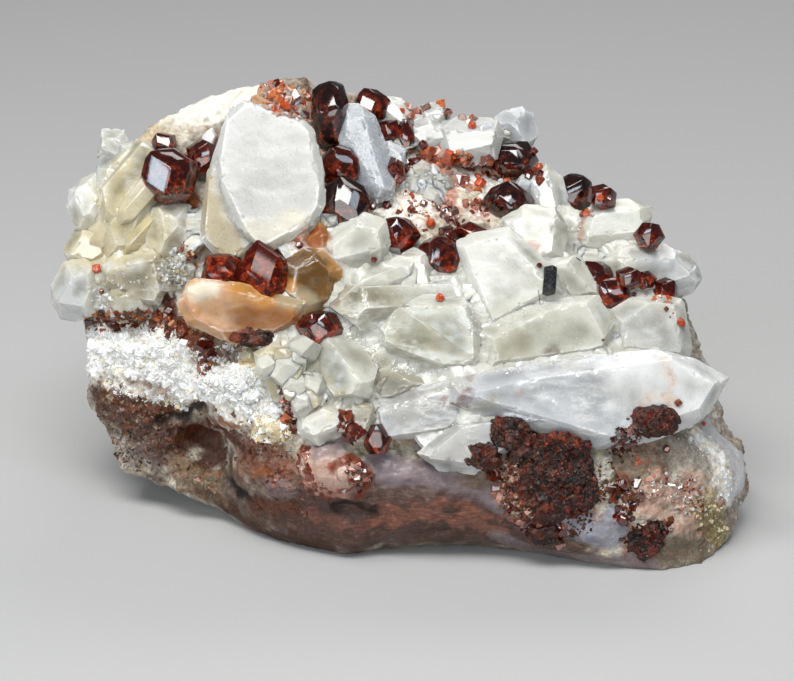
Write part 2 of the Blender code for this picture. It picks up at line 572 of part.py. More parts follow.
# Garnets, by node. G is a stone with its column, row, width and height in picture
# points; S is a crust with its outline and lift.
GARNETS = {
    "garnet_lead": (("G", 169, 177, 54, 53, dict(facet=(-0.38, 0.08), spin=20)),),
    "garnet_rider": (("G", 164, 144, 20, 19, dict(facet=(0.0, 0.3), spin=50, sink=0.3)),),
    "garnet_left_small": (("G", 204, 157, 27, 31, dict(spin=15)),),
    "garnet_tall": (("G", 331, 115, 37, 66, dict(facet=(-0.25, 0.5), spin=30)),),
    "garnet_notch": (("G", 341, 168, 40, 44, dict(facet=(0.2, 0.2), spin=70, sink=0.5)),),
    "garnet_blue_face": (
        ("G", 345, 207, 55, 54, dict(facet=(0.24, 0.3), spin=42, sink=0.2)),
    ),
    "garnet_wedge_small": (("G", 299, 248, 18, 22, dict(facet=(-0.4, 0.2), sink=0.1)),),
    "garnet_pair": (
        ("G", 225, 280, 44, 49, dict(facet=(-0.3, -0.3), spin=25, sink=-0.2)),
        ("G", 264, 278, 52, 62, dict(facet=(0.0, 0.5), spin=10, sink=0.3)),
    ),
    "garnet_centre_left": (("G", 397, 235, 37, 35, dict(facet=(0.05, 0.05), spin=35)),),
    "garnet_centre": (
        ("G", 441, 258, 46, 42, dict(facet=(0.05, 0.05), spin=60)),
        ("G", 449, 237, 18, 18, dict(sink=0.0)),
    ),
    "garnet_lens": (("G", 470, 231, 26, 13, dict(facet=(0, 0.4), sink=0.3)),),
    "garnet_crest_front": (("G", 371, 107, 33, 33, dict(facet=(-0.2, 0.3), spin=10)),),
    "garnet_crest_pair": (
        ("G", 388, 133, 22, 22, dict(facet=(0.4, 0.3), sink=0.0)),
        ("G", 406, 136, 21, 33, dict(spin=40)),
    ),
    "garnet_crest_low": (("G", 394, 172, 17, 25, dict(spin=20, sink=0.2)),),
    "garnet_back_black": (("G", 512, 160, 50, 35, dict(facet=(-0.1, 0.1), spin=80)),),
    "garnet_black": (("G", 508, 202, 44, 35, dict(facet=(0.1, 0.35), spin=15)),),
    "garnet_right_top": (("G", 574, 194, 38, 39, dict(facet=(-0.05, 0.05), spin=5)),),
    "garnet_right_top_small": (("G", 602, 197, 24, 20, dict(sink=0.3)),),
    "garnet_edge": (("G", 649, 236, 22, 24, dict(spin=33, sink=0.4)),),
    "garnet_right_pair": (
        ("G", 594, 278, 37, 32, dict(facet=(-0.2, 0.2), spin=20)),
        ("G", 612, 299, 31, 42, dict(facet=(0.1, 0.4), spin=65)),
    ),
    "garnet_right_small": (
        ("G", 630, 278, 22, 18, dict(spin=10, sink=0.2)),
        ("G", 645, 280, 16, 15, dict(spin=50, sink=0.2)),
    ),
    "garnet_right_ring": (("G", 665, 291, 21, 21, dict(facet=(0.2, 0.1), sink=0.2)),),
    "garnet_wedge": (("G", 321, 328, 42, 32, dict(spin=30, sink=0.4)),),
    "garnet_seam": (("G", 252, 337, 38, 16, dict(sink=0.2)),),
    "garnet_low": (("G", 377, 439, 22, 28, dict(spin=45, sink=0.4)),),
    "garnet_mass": (
        ("S", ((512, 452), (532, 438), (568, 435), (590, 447), (594, 474), (600, 500),
               (580, 520), (548, 526), (518, 516), (503, 490)), 0.2,
         dict(pitch=-24, rise=1.3, bevel=28, taper=0)),
    ),
    "garnet_patch_upper": (("G", 510, 433, 36, 32, dict(sink=0.55)),),
    "garnet_patch_left": (("G", 485, 457, 31, 24, dict(sink=0.5)),),
    "garnet_patch_right": (("G", 656, 421, 44, 28, dict(sink=0.5)),),
    "garnet_patch_oval": (("G", 545, 534, 34, 20, dict(sink=0.5)),),
    "garnet_patch_foot": (
        ("S", ((628, 534), (648, 523), (668, 530), (662, 548), (644, 566), (628, 552)), 0.1,
         dict(pitch=-20, rise=0.9, bevel=28, taper=0)),
    ),
}

# Black schorl, by node, as a point
SCHORL = {
    "schorl_prism": (("P", (550, 270, 0.8), (548, 294, 1.6), 1.5, dict(flat=1.0, steep=14)),),
}


def shape_faces(ground, kind, *data):
    """The faces of one crystal from its line in the lists."""
    *place, manner = data
    makers = {"S": slab_faces, "P": point_faces, "G": garnet_faces}
    return makers[kind](ground, *place, **manner)


def combine(target, tools, operation):
    """Joins the tools to the target, or cuts them from it, and removes them."""
    for tool in tools:
        modifier = target.modifiers.new(operation.lower(), "BOOLEAN")
        modifier.operation = operation
        modifier.solver = "EXACT"
        modifier.use_self = tool.name.startswith("swollen")
        modifier.object = tool
        settle(target)
        bpy.data.objects.remove(tool)


def settle(piece):
    """Replaces a piece's mesh by what its modifiers make of it, less any loose chips."""
    graph = bpy.context.evaluated_depsgraph_get()
    mesh = bpy.data.meshes.new_from_object(piece.evaluated_get(graph))
    piece.modifiers.clear()
    piece.data = mesh
    bm = bmesh.new()
    bm.from_mesh(mesh)
    bmesh.ops.dissolve_limit(
        bm, angle_limit=math.radians(0.05), verts=bm.verts, edges=bm.edges
    )
    bmesh.ops.triangulate(bm, faces=bm.faces)
    bmesh.ops.dissolve_degenerate(bm, dist=1e-6, edges=bm.edges)
    drop_chips(bm)
    bm.to_mesh(mesh)
    bm.free()


def drop_chips(bm):
    """Leaves only the largest connected body of a bmesh."""
    left = set(bm.faces)
    bodies = []
    while left:
        body = set()
        waiting = [left.pop()]
        while waiting:
            face = waiting.pop()
            body.add(face)
            for edge in face.edges:
                for other in edge.link_faces:
                    if other in left:
                        left.remove(other)
                        waiting.append(other)
        bodies.append(body)
    bodies.sort(key=lambda body: sum(face.calc_area() for face in body))
    loose = [face for body in bodies[:-1] for face in body]
    bmesh.ops.delete(bm, geom=loose, context="FACES")


def boxes_meet(first, second):
    """Whether the boxes of two pieces, a gap apart or less, meet."""
    spans = []
    for piece in (first, second):
        points = [vert.co for vert in piece.data.vertices]
        low = [min(point[i] for point in points) - GAP for i in range(3)]
        high = [max(point[i] for point in points) + GAP for i in range(3)]
        spans.append((low, high))
    (low_a, high_a), (low_b, high_b) = spans
    return all(low_a[i] < high_b[i] and low_b[i] < high_a[i] for i in range(3))


def tree_of(pieces):
    """A search tree over the surfaces of some pieces."""
    points = []
    polygons = []
    for piece in pieces:
        start = len(points)
        points += [vert.co.copy() for vert in piece.data.vertices]
        polygons += [[start + i for i in face.vertices] for face in piece.data.polygons]
    return BVHTree.FromPolygons(points, polygons)


def finish_material(piece, name, colour, roughness):
    """Gives a piece its own plain material."""
    material = bpy.data.materials.new(name)
    material.use_nodes = True
    shader = material.node_tree.nodes["Principled BSDF"]
    shader.inputs["Base Color"].default_value = (*colour, 1)
    shader.inputs["Roughness"].default_value = roughness
    shader.inputs["Metallic"].default_value = 0.0
    piece.data.materials.clear()
    piece.data.materials.append(material)


def swollen(block, collection):
    """A copy of the block with its surface moved outwards by the gap."""
    bm = bmesh.new()
    bm.from_mesh(block.data)
    bm.normal_update()
    for vert, place in [(vert, vert.co + vert.normal * GAP) for vert in bm.verts]:
        vert.co = place
    return new_object("swollen", bm, collection)


def grow(lists, ground, settled, shapes, parts):
    """Builds crystals on the ground, each fitted round the pieces that are there."""
    for name, crystals in lists.items():
        shapes[name] = [shape_faces(ground, *crystal) for crystal in crystals]
        pieces = [new_object(name, carve(*shape), parts) for shape in shapes[name]]
        combine(pieces[0], pieces[1:], "UNION")
        piece = pieces[0]
        piece.name = name
        walls = [swollen(settled["matrix"], parts)]
        for other_name, other in settled.items():
            if other_name != "matrix" and boxes_meet(piece, other):
                walls += [
                    new_object("wall", carve(*shape, swell=GAP), parts)
                    for shape in shapes[other_name]
                ]
        combine(piece, walls, "DIFFERENCE")
        settled[name] = piece


def thinned(block):
    """Takes the least needed points out of the block."""
    modifier = block.modifiers.new("thin", "DECIMATE")
    modifier.ratio = BLOCK_SHARE_KEPT
    settle(block)
    for vert in block.data.vertices:
        if vert.co.z < FOOT_REACH:
            vert.co.z = 0.0
    return block


def main():
    for old in list(bpy.data.objects):
        bpy.data.objects.remove(old, do_unlink=True)
    parts = bpy.data.collections.new("garnet_on_matrix")
    bpy.context.scene.collection.children.link(parts)
    settled = {"matrix": thinned(new_object("matrix", block_mesh(), parts))}
    shapes = {}
    grow(QUARTZ, tree_of(settled.values()), settled, shapes, parts)
    ground = tree_of(settled.values())
    grow(SCHORL, ground, settled, shapes, parts)
    grow(GARNETS, ground, settled, shapes, parts)
    for name, piece in settled.items():
        kind = name.split("_")[0]
        finish_material(piece, name, *FINISHES[kind])


if __name__ == "__main__":
    main()
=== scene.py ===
"""Garnet on matrix: dark red garnets and milky quartz on a broken block, in soft studio light."""

import logging
import math
import random
from dataclasses import dataclass, field
from enum import Enum

import bmesh
import bpy
import numpy as np
from mathutils import Matrix, Vector, noise
from mathutils.bvhtree import BVHTree
from mathutils.kdtree import KDTree


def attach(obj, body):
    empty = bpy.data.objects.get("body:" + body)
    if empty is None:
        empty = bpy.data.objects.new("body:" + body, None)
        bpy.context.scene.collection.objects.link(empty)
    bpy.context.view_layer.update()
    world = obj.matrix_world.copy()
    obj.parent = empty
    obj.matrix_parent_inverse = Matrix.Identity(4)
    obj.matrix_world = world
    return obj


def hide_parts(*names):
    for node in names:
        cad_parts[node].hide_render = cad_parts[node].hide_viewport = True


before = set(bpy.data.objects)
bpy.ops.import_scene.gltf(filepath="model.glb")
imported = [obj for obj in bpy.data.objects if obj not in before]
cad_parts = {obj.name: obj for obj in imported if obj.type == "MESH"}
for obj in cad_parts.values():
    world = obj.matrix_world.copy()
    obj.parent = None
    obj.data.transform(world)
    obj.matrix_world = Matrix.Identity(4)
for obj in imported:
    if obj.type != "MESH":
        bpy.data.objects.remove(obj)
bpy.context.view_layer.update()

MM = 0.001
LOG = logging.getLogger("garnet_on_matrix")


def linear(red: int, green: int, blue: int) -> tuple[float, float, float]:
    """A colour given in screen values from 0 to 255, as the shader's linear values."""
    values = []
    for part in (red / 255, green / 255, blue / 255):
        values.append(part / 12.92 if part <= 0.04045 else ((part + 0.055) / 1.055) ** 2.4)
    return tuple(values)


class Tint(Enum):
    """The colours of the specimen, in linear values; a few are darkened as painted shade."""

    MILK = linear(223, 222, 213)
    WHITE = linear(252, 252, 251)
    CREAM = linear(222, 211, 180)
    YELLOW = linear(218, 204, 160)
    STRAW = linear(174, 162, 132)
    PEARL = linear(196, 196, 193)
    RIME = linear(207, 206, 197)
    FROST = linear(184, 190, 197)
    BLUISH = linear(202, 205, 210)
    IVORY = linear(246, 242, 226)
    GREENISH = linear(203, 201, 187)
    OLIVE = linear(184, 178, 154)
    GREY = linear(170, 166, 160)
    AMBER = linear(208, 152, 82)
    HONEY = linear(164, 98, 38)
    TEA = linear(112, 80, 38)
    PEACH = linear(226, 184, 146)
    CHALK = linear(253, 252, 249)
    SAND = linear(226, 210, 172)
    ROSE = linear(140, 84, 68)
    SALMON = linear(192, 134, 116)
    DUSTY = linear(190, 160, 146)
    MAUVE = linear(98, 70, 60)
    # painted shade: the belly's colour is darkened for the shade on the underside
    BELLY = linear(86, 60, 54)
    STREAK = linear(156, 102, 82)
    LILAC = linear(132, 120, 126)
    SLATE = linear(142, 146, 160)
    CLAY = linear(126, 108, 86)
    ASH = linear(118, 110, 96)
    UMBER = linear(76, 46, 30)
    EARTH = linear(114, 62, 30)
    RUST = linear(128, 54, 24)
    ORANGE = linear(206, 90, 44)
    FLAME = linear(222, 126, 76)
    BROWN = linear(86, 36, 16)
    BLOOD = linear(94, 18, 9)
    SHADOW = linear(40, 24, 16)
    PITCH = linear(24, 15, 12)
    MOSS = linear(160, 150, 104)


@dataclass(frozen=True)
class View:
    """The photograph's camera: where it stands and what its frame shows.

    Columns and rows are points of the picture, depths are along its view in metres.
    """

    point_size: float = 0.13 * MM
    away: float = 0.344
    tilt: float = math.radians(22)
    target: Vector = field(default_factory=lambda: Vector((-0.5, -3.0, 21.8)) * MM)
    width: float = 794.0
    middle: tuple[float, float] = (397.0, 340.5)
    sensor: float = 36.0

    @property
    def up(self) -> Vector:
        """The picture's upward direction."""
        return Vector((0, math.sin(self.tilt), math.cos(self.tilt)))

    @property
    def inward(self) -> Vector:
        """The direction of view."""
        return Vector((0, math.cos(self.tilt), -math.sin(self.tilt)))

    @property
    def eye(self) -> Vector:
        """Where the camera stands."""
        return self.target - self.inward * self.away

    def sight(self, column: float, row: float) -> Vector:
        """The direction in which the camera sees a point of the picture."""
        right = (column - self.middle[0]) * self.point_size / self.away
        rise = (self.middle[1] - row) * self.point_size / self.away
        return (self.inward + Vector((1, 0, 0)) * right + self.up * rise).normalized()

    def make_camera(self) -> None:
        """Puts the camera in place and makes it the scene's own."""
        data = bpy.data.cameras.new("view")
        data.sensor_width = self.sensor
        data.lens = self.away / self.point_size / self.width * self.sensor
        data.clip_start = 0.01
        camera = bpy.data.objects.new("view", data)
        bpy.context.scene.collection.objects.link(camera)
        camera.location = self.eye
        camera.rotation_euler = self.inward.to_track_quat("-Z", "Y").to_euler()
        bpy.context.scene.camera = camera


VIEW = View()


def choose(piece: bpy.types.Object) -> None:
    """Selects one object alone and makes it the active one."""
    if bpy.context.object and bpy.context.object.mode != "OBJECT":
        bpy.ops.object.mode_set(mode="OBJECT")
    bpy.ops.object.select_all(action="DESELECT")
    piece.select_set(True)
    bpy.context.view_layer.objects.active = piece


def copy_of(node: str, name: str) -> bpy.types.Object:
    """A merged copy of a CAD node's mesh as a new piece.

    Args:
        node: the CAD node's name.
        name: the new piece's name.

    Returns:
        The new object, active and selected alone.
    """
    piece = bpy.data.objects.new(name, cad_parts[node].data.copy())
    piece.data.materials.clear()
    bpy.context.scene.collection.objects.link(piece)
    choose(piece)
    bpy.ops.object.mode_set(mode="EDIT")
    bpy.ops.mesh.select_all(action="SELECT")
    bpy.ops.mesh.remove_doubles(threshold=1e-6)
    bpy.ops.mesh.dissolve_limited(angle_limit=math.radians(1.0))
    bpy.ops.mesh.select_all(action="SELECT")
    bpy.ops.mesh.normals_make_consistent(inside=False)
    bpy.ops.object.mode_set(mode="OBJECT")
    return piece


def apply(piece: bpy.types.Object, kind: str, **settings: object) -> None:
    """Adds a modifier with some settings to a piece and applies it."""
    choose(piece)
    modifier = piece.modifiers.new(kind.lower(), kind)
    for key, value in settings.items():
        setattr(modifier, key, value)
    bpy.ops.object.modifier_apply(modifier=modifier.name)


def points_of(piece: bpy.types.Object) -> tuple[np.ndarray, np.ndarray]:
    """A piece's points and their normals, as arrays."""
    count = len(piece.data.vertices)
    points = np.empty(count * 3)
    normals = np.empty(count * 3)
    piece.data.vertices.foreach_get("co", points)
    piece.data.vertices.foreach_get("normal", normals)
    return points.reshape(-1, 3), normals.reshape(-1, 3)


def move_points(piece: bpy.types.Object, points: np.ndarray) -> None:
    """Puts a piece's points at new places."""
    piece.data.vertices.foreach_set("co", points.ravel())
    piece.data.update()


def fractal(points: np.ndarray, grain: float, octaves: int = 3) -> np.ndarray:
    """Rough noise from about -1 to 1 at each point, with lumps of about the grain's size."""
    scaled = points / grain
    return np.array([noise.fractal(Vector(p), 1.0, 2.0, octaves) for p in scaled])


def cells(points: np.ndarray, grain: float) -> tuple[np.ndarray, np.ndarray]:
    """The distances from each point to the nearest and second nearest cell centres."""
    scaled = points / grain
    near = np.array([noise.voronoi(Vector(p))[0][:2] for p in scaled])
    return near[:, 0], near[:, 1]


def steps(points: np.ndarray, grain: float) -> np.ndarray:
    """A random level from -1 to 1 for each small broken facet of about the grain's size."""
    scaled = points / grain
    levels = []
    for p in scaled:
        centre = noise.voronoi(Vector(p))[1][0]
        away = Vector(p) - centre
        tilt = noise.cell_vector(centre * 7.3)
        levels.append(noise.cell(centre * 3.1) + 1.4 * away.dot(tilt - Vector((0.5, 0.5, 0.5))))
    return np.array(levels)


@dataclass(frozen=True)
class Stroke:
    """A stain, vein, lump or hollow that lies on the specimen where the photograph shows it.

    Args in order: the picture points that it runs through, its radius in picture
    points, its colour and strength, and what it brings with it: rust spots, gloss,
    a grainy surface, a clean colour, and a lift in metres.
    """

    path: tuple[tuple[float, float], ...]
    radius: float
    tint: Tint
    strength: float = 0.85
    rust: float = 0.0
    gloss: float = 0.2
    grain: float = 0.3
    pure: float = 0.3
    lift: float = 0.0
    ragged: float = 0.45


ROCK: tuple[Stroke, ...] = (
    Stroke(((130, 480), (230, 495), (330, 525), (560, 545)), 42, Tint.UMBER, 0.85, rust=0.2, gloss=0.4),
    # painted shade: the belly that faces down is painted dark
    Stroke(((300, 515), (400, 505), (520, 520)), 46, Tint.BELLY, 0.95, gloss=0.6, pure=0.5),
    Stroke(((120, 470), (200, 505), (310, 545)), 22, Tint.UMBER, 0.9, rust=0.2, grain=0.6),
    # painted shade: a darker brown along the bottom rim
    Stroke(((225, 510), (270, 534), (330, 548), (420, 553), (500, 556)), 13, Tint.UMBER, 0.9, grain=0.5),
    Stroke(((385, 468), (435, 474), (480, 484), (506, 505), (540, 540)), 15, Tint.LILAC, 0.85, gloss=0.8,
           grain=0.1, pure=0.8, lift=0.4 * MM),
    Stroke(((375, 522), (420, 512), (460, 522), (500, 532)), 9, Tint.STREAK, 0.75, gloss=1.0, grain=0.5,
           ragged=1.2),
    Stroke(((440, 500), (470, 508), (500, 522)), 6, Tint.STREAK, 0.6, gloss=1.0, grain=0.4, ragged=1.2),
    Stroke(((310, 512), (340, 525), (375, 528)), 7, Tint.STREAK, 0.4, gloss=0.8, grain=0.4, ragged=1.2),
    # painted shade: a dark hollow under the pink dome
    Stroke(((335, 506), (355, 504), (372, 514)), 6, Tint.SHADOW, 0.85, lift=-0.3 * MM, ragged=1.0),
    Stroke(((500, 540), (540, 552), (600, 560), (650, 562)), 12, Tint.LILAC, 0.85, gloss=0.7, pure=0.6),
    Stroke(((548, 524), (585, 530), (612, 538), (616, 520)), 15, Tint.SLATE, 0.9, gloss=0.8, grain=0.1,
           pure=0.7),
    Stroke(((470, 474), (498, 472), (516, 450)), 13, Tint.CLAY, 0.8, rust=0.5, gloss=0.6),
    Stroke(((625, 470), (650, 478), (652, 452)), 26, Tint.CLAY, 0.9, rust=0.8, gloss=0.7),
    Stroke(((602, 456), (603, 486)), 11, Tint.OLIVE, 0.95, gloss=0.6, pure=0.9, lift=0.5 * MM),
    Stroke(((655, 497), (690, 488), (692, 508)), 20, Tint.DUSTY, 0.9, rust=0.5, gloss=0.5, grain=0.8, pure=0.7,
           ragged=0.9),
    Stroke(((650, 514), (675, 524), (698, 526)), 9, Tint.DUSTY, 0.9, gloss=0.6, pure=0.9, ragged=0.9),
    Stroke(((650, 548), (680, 552), (702, 548)), 14, Tint.ASH, 0.9, rust=0.3, gloss=0.5),
    Stroke(((668, 446), (690, 452), (706, 458)), 15, Tint.GREY, 0.9, gloss=0.5, pure=0.2),
    Stroke(((696, 432), (714, 448), (722, 474), (734, 494)), 12, Tint.WHITE, 0.95, grain=0.6, pure=1.0, ragged=1.2),
    Stroke(((712, 432), (738, 452), (740, 490)), 20, Tint.BLUISH, 0.95, gloss=0.7, grain=0.1, pure=0.9),
    Stroke(((704, 510), (716, 526), (722, 542)), 13, Tint.MOSS, 0.85, rust=0.1, grain=0.8),
    Stroke(((700, 500), (712, 496)), 8, Tint.SAND, 0.8, rust=0.4, grain=0.8),
    Stroke(((740, 500), (730, 530), (715, 560)), 9, Tint.GREY, 0.8, grain=0.6),
    Stroke(((115, 130), (165, 108), (215, 88), (260, 80), (330, 78)), 36, Tint.MILK, 1.0, gloss=0.5,
           grain=0.3, pure=1.0),
    Stroke(((110, 160), (150, 135), (200, 112)), 18, Tint.CREAM, 0.6, gloss=0.6, grain=0.3, pure=0.9),
    Stroke(((205, 120), (209, 122)), 3, Tint.CLAY, 0.8, lift=-0.7 * MM, ragged=1.0),
    Stroke(((182, 104),), 4, Tint.ROSE, 0.9),
    Stroke(((268, 94), (286, 100), (305, 107)), 16, Tint.SALMON, 0.9, rust=0.9, grain=0.8, ragged=0.8),
    Stroke(((125, 135), (160, 118), (190, 105), (215, 99), (240, 93)), 30, Tint.MILK, 1.0, gloss=0.6,
           grain=0.3, pure=1.0),
    Stroke(((190, 200), (188, 225), (195, 250)), 9, Tint.HONEY, 0.95, rust=0.6, gloss=0.8),
    Stroke(((188, 262), (178, 278), (196, 270)), 14, Tint.WHITE, 0.8, grain=1.0, pure=0.6, ragged=1.2),
    Stroke(((100, 300), (130, 300), (165, 285)), 18, Tint.OLIVE, 0.9, gloss=0.6, grain=0.4, pure=0.6),
    Stroke(((92, 308), (104, 300)), 9, Tint.SLATE, 0.8, grain=0.8),
    Stroke(((120, 285), (134, 292), (148, 284)), 6, Tint.WHITE, 0.9, grain=1.0, pure=0.9, ragged=1.3),
    Stroke(((168, 288), (182, 292)), 8, Tint.WHITE, 0.9, grain=1.0, pure=0.9, ragged=1.0),
    Stroke(((100, 400), (140, 415), (170, 440)), 34, Tint.MAUVE, 0.95, rust=0.3, grain=0.9, pure=0.1),
    Stroke(((105, 396), (135, 408), (170, 414)), 10, Tint.EARTH, 0.7, rust=0.3, grain=0.9, ragged=0.9),
    Stroke(((118, 448), (150, 456)), 15, Tint.LILAC, 0.45, grain=0.6),
    Stroke(((120, 475), (155, 480)), 12, Tint.UMBER, 0.8, grain=0.5),
    Stroke(((101, 420), (106, 442), (114, 458)), 5, Tint.CLAY, 0.7, grain=0.5),
    Stroke(((90, 352), (130, 350), (165, 360), (182, 380)), 30, Tint.CHALK, 1.0, grain=0.75, pure=1.0),
    Stroke(((105, 382), (140, 390), (165, 398), (185, 404)), 7, Tint.CHALK, 0.9, grain=1.0, pure=0.9),
    Stroke(((108, 368), (118, 370)), 6, Tint.SAND, 0.6, grain=1.0, pure=0.8),
    Stroke(((146, 350), (140, 372)), 4, Tint.SAND, 0.8, grain=1.0, pure=0.8),
    Stroke(((163, 390), (166, 398)), 5, Tint.HONEY, 0.5, grain=1.0, pure=0.8),
    Stroke(((84, 350),), 7, Tint.PEACH, 0.8, grain=0.5, pure=0.8),
    Stroke(((212, 386), (240, 384), (262, 398), (268, 408), (230, 410)), 21, Tint.CHALK, 1.0, grain=1.0,
           pure=1.0, lift=0.9 * MM),
    Stroke(((225, 356), (240, 348)), 13, Tint.STREAK, 0.85, rust=0.4, grain=0.8, pure=0.3),
    # painted shade: a dark band in a crevice
    Stroke(((160, 422), (185, 418), (200, 406)), 7, Tint.SHADOW, 0.95, lift=-0.6 * MM, ragged=0.8),
    Stroke(((180, 438), (202, 430)), 11, Tint.EARTH, 0.9, grain=0.5),
    # the pit's brown rock, painted darker as shade
    Stroke(((202, 432), (214, 450), (208, 464)), 16, Tint.BROWN, 0.9, rust=0.4, gloss=0.0, ragged=0.9,
           lift=-0.6 * MM),
    Stroke(((212, 424), (236, 440), (254, 456)), 9, Tint.BROWN, 0.95, rust=0.4, grain=0.5),
    Stroke(((222, 420), (235, 425)), 6, Tint.HONEY, 0.8, gloss=0.5),
    Stroke(((182, 468), (200, 474), (216, 482)), 13, Tint.CLAY, 0.9, grain=0.6, pure=0.5, lift=0.7 * MM),
    Stroke(((192, 488), (222, 500)), 8, Tint.CLAY, 0.6, grain=0.5, pure=0.6),
    # painted shade: a dark crevice
    Stroke(((228, 482), (244, 496), (254, 508)), 7, Tint.PITCH, 0.9, lift=-0.6 * MM, ragged=0.9),
    Stroke(((242, 464), (260, 470), (282, 478)), 14, Tint.EARTH, 0.85, gloss=0.7, lift=0.5 * MM),
    Stroke(((256, 472), (270, 474)), 5, Tint.HONEY, 0.6, gloss=0.8, ragged=0.9),
    Stroke(((268, 486), (286, 492)), 11, Tint.LILAC, 0.65, gloss=0.8, lift=0.4 * MM),
    Stroke(((255, 508), (290, 508)), 11, Tint.EARTH, 0.7, gloss=0.4),
    Stroke(((250, 442), (275, 452), (292, 468)), 10, Tint.STREAK, 0.8, rust=0.3, grain=0.5),
    Stroke(((262, 434), (280, 432)), 14, Tint.SAND, 0.95, grain=0.6, pure=1.0, lift=1.0 * MM),
    Stroke(((255, 352), (285, 358), (305, 385)), 22, Tint.SAND, 0.9, rust=0.6, gloss=0.5, pure=0.8),
    Stroke(((262, 400), (262, 418)), 7, Tint.SAND, 0.6, grain=0.6, pure=0.7),
    Stroke(((320, 468), (342, 478)), 27, Tint.DUSTY, 0.9, rust=0.1, gloss=0.9, grain=0.1, pure=0.7,
           lift=1.3 * MM),
    Stroke(((316, 482), (338, 492)), 12, Tint.SALMON, 0.6, gloss=0.8, grain=0.2, pure=0.5, ragged=0.9),
    Stroke(((322, 450), (338, 446)), 11, Tint.LILAC, 0.8, gloss=0.8, grain=0.1, pure=0.8),
    Stroke(((302, 428), (322, 434), (338, 424)), 10, Tint.BLUISH, 0.9, gloss=0.9, grain=0.1, pure=0.9),
    Stroke(((302, 450), (304, 474)), 5, Tint.RUST, 0.9, rust=1.0, gloss=0.5, ragged=1.0),
    Stroke(((310, 492), (330, 498)), 3, Tint.RUST, 0.8, rust=0.5, ragged=0.9),
    Stroke(((350, 460), (366, 470), (366, 484), (358, 496)), 5, Tint.RUST, 0.9, rust=0.8, gloss=0.5,
           ragged=0.9),
    Stroke(((338, 468), (346, 464)), 5, Tint.RUST, 0.9, rust=0.8, gloss=0.5, ragged=0.9),
    Stroke(((340, 486), (354, 480)), 4, Tint.RUST, 0.8, rust=0.8, gloss=0.5, ragged=0.9),
    Stroke(((378, 460), (388, 474)), 13, Tint.LILAC, 0.9, gloss=0.9, grain=0.1, pure=0.9),
    Stroke(((86, 330), (110, 328), (130, 318), (150, 324)), 9, Tint.RUST, 0.9, rust=0.8, grain=0.8,
           ragged=0.9),
    Stroke(((136, 312), (152, 322)), 8, Tint.SHADOW, 0.9, rust=0.4, grain=0.6, ragged=0.9),
    Stroke(((176, 328), (186, 334), (204, 338), (210, 350), (206, 370)), 8, Tint.RUST, 0.95, rust=0.8,
           grain=0.8, ragged=0.9),
    Stroke(((165, 300), (168, 316)), 8, Tint.BROWN, 0.95, rust=0.6, grain=0.7, ragged=0.9),
    Stroke(((286, 396), (286, 410), (292, 428)), 6, Tint.RUST, 0.95, rust=0.9, grain=0.8, ragged=0.8),
    Stroke(((278, 376), (276, 384)), 6, Tint.RUST, 0.8, rust=0.8, ragged=0.9),
    Stroke(((400, 200), (430, 170), (480, 190), (450, 130)), 34, Tint.CHALK, 0.95, grain=0.5, pure=1.0),
    Stroke(((424, 170), (436, 152), (442, 166)), 10, Tint.SALMON, 0.9, rust=1.0, pure=0.9, ragged=0.9),
    Stroke(((455, 178), (450, 190), (452, 215)), 8, Tint.SALMON, 0.85, rust=1.0, pure=0.9, ragged=0.9),
    Stroke(((455, 160), (468, 164), (484, 166)), 7, Tint.SALMON, 0.8, rust=0.8, pure=0.9, ragged=0.9),
    Stroke(((470, 200), (480, 212)), 9, Tint.SALMON, 0.6, rust=0.6, pure=0.9, ragged=0.9),
    Stroke(((466, 194),), 8, Tint.OLIVE, 0.8, pure=0.8),
    Stroke(((400, 110), (410, 118)), 9, Tint.SALMON, 0.8, rust=0.6, pure=0.8),
)
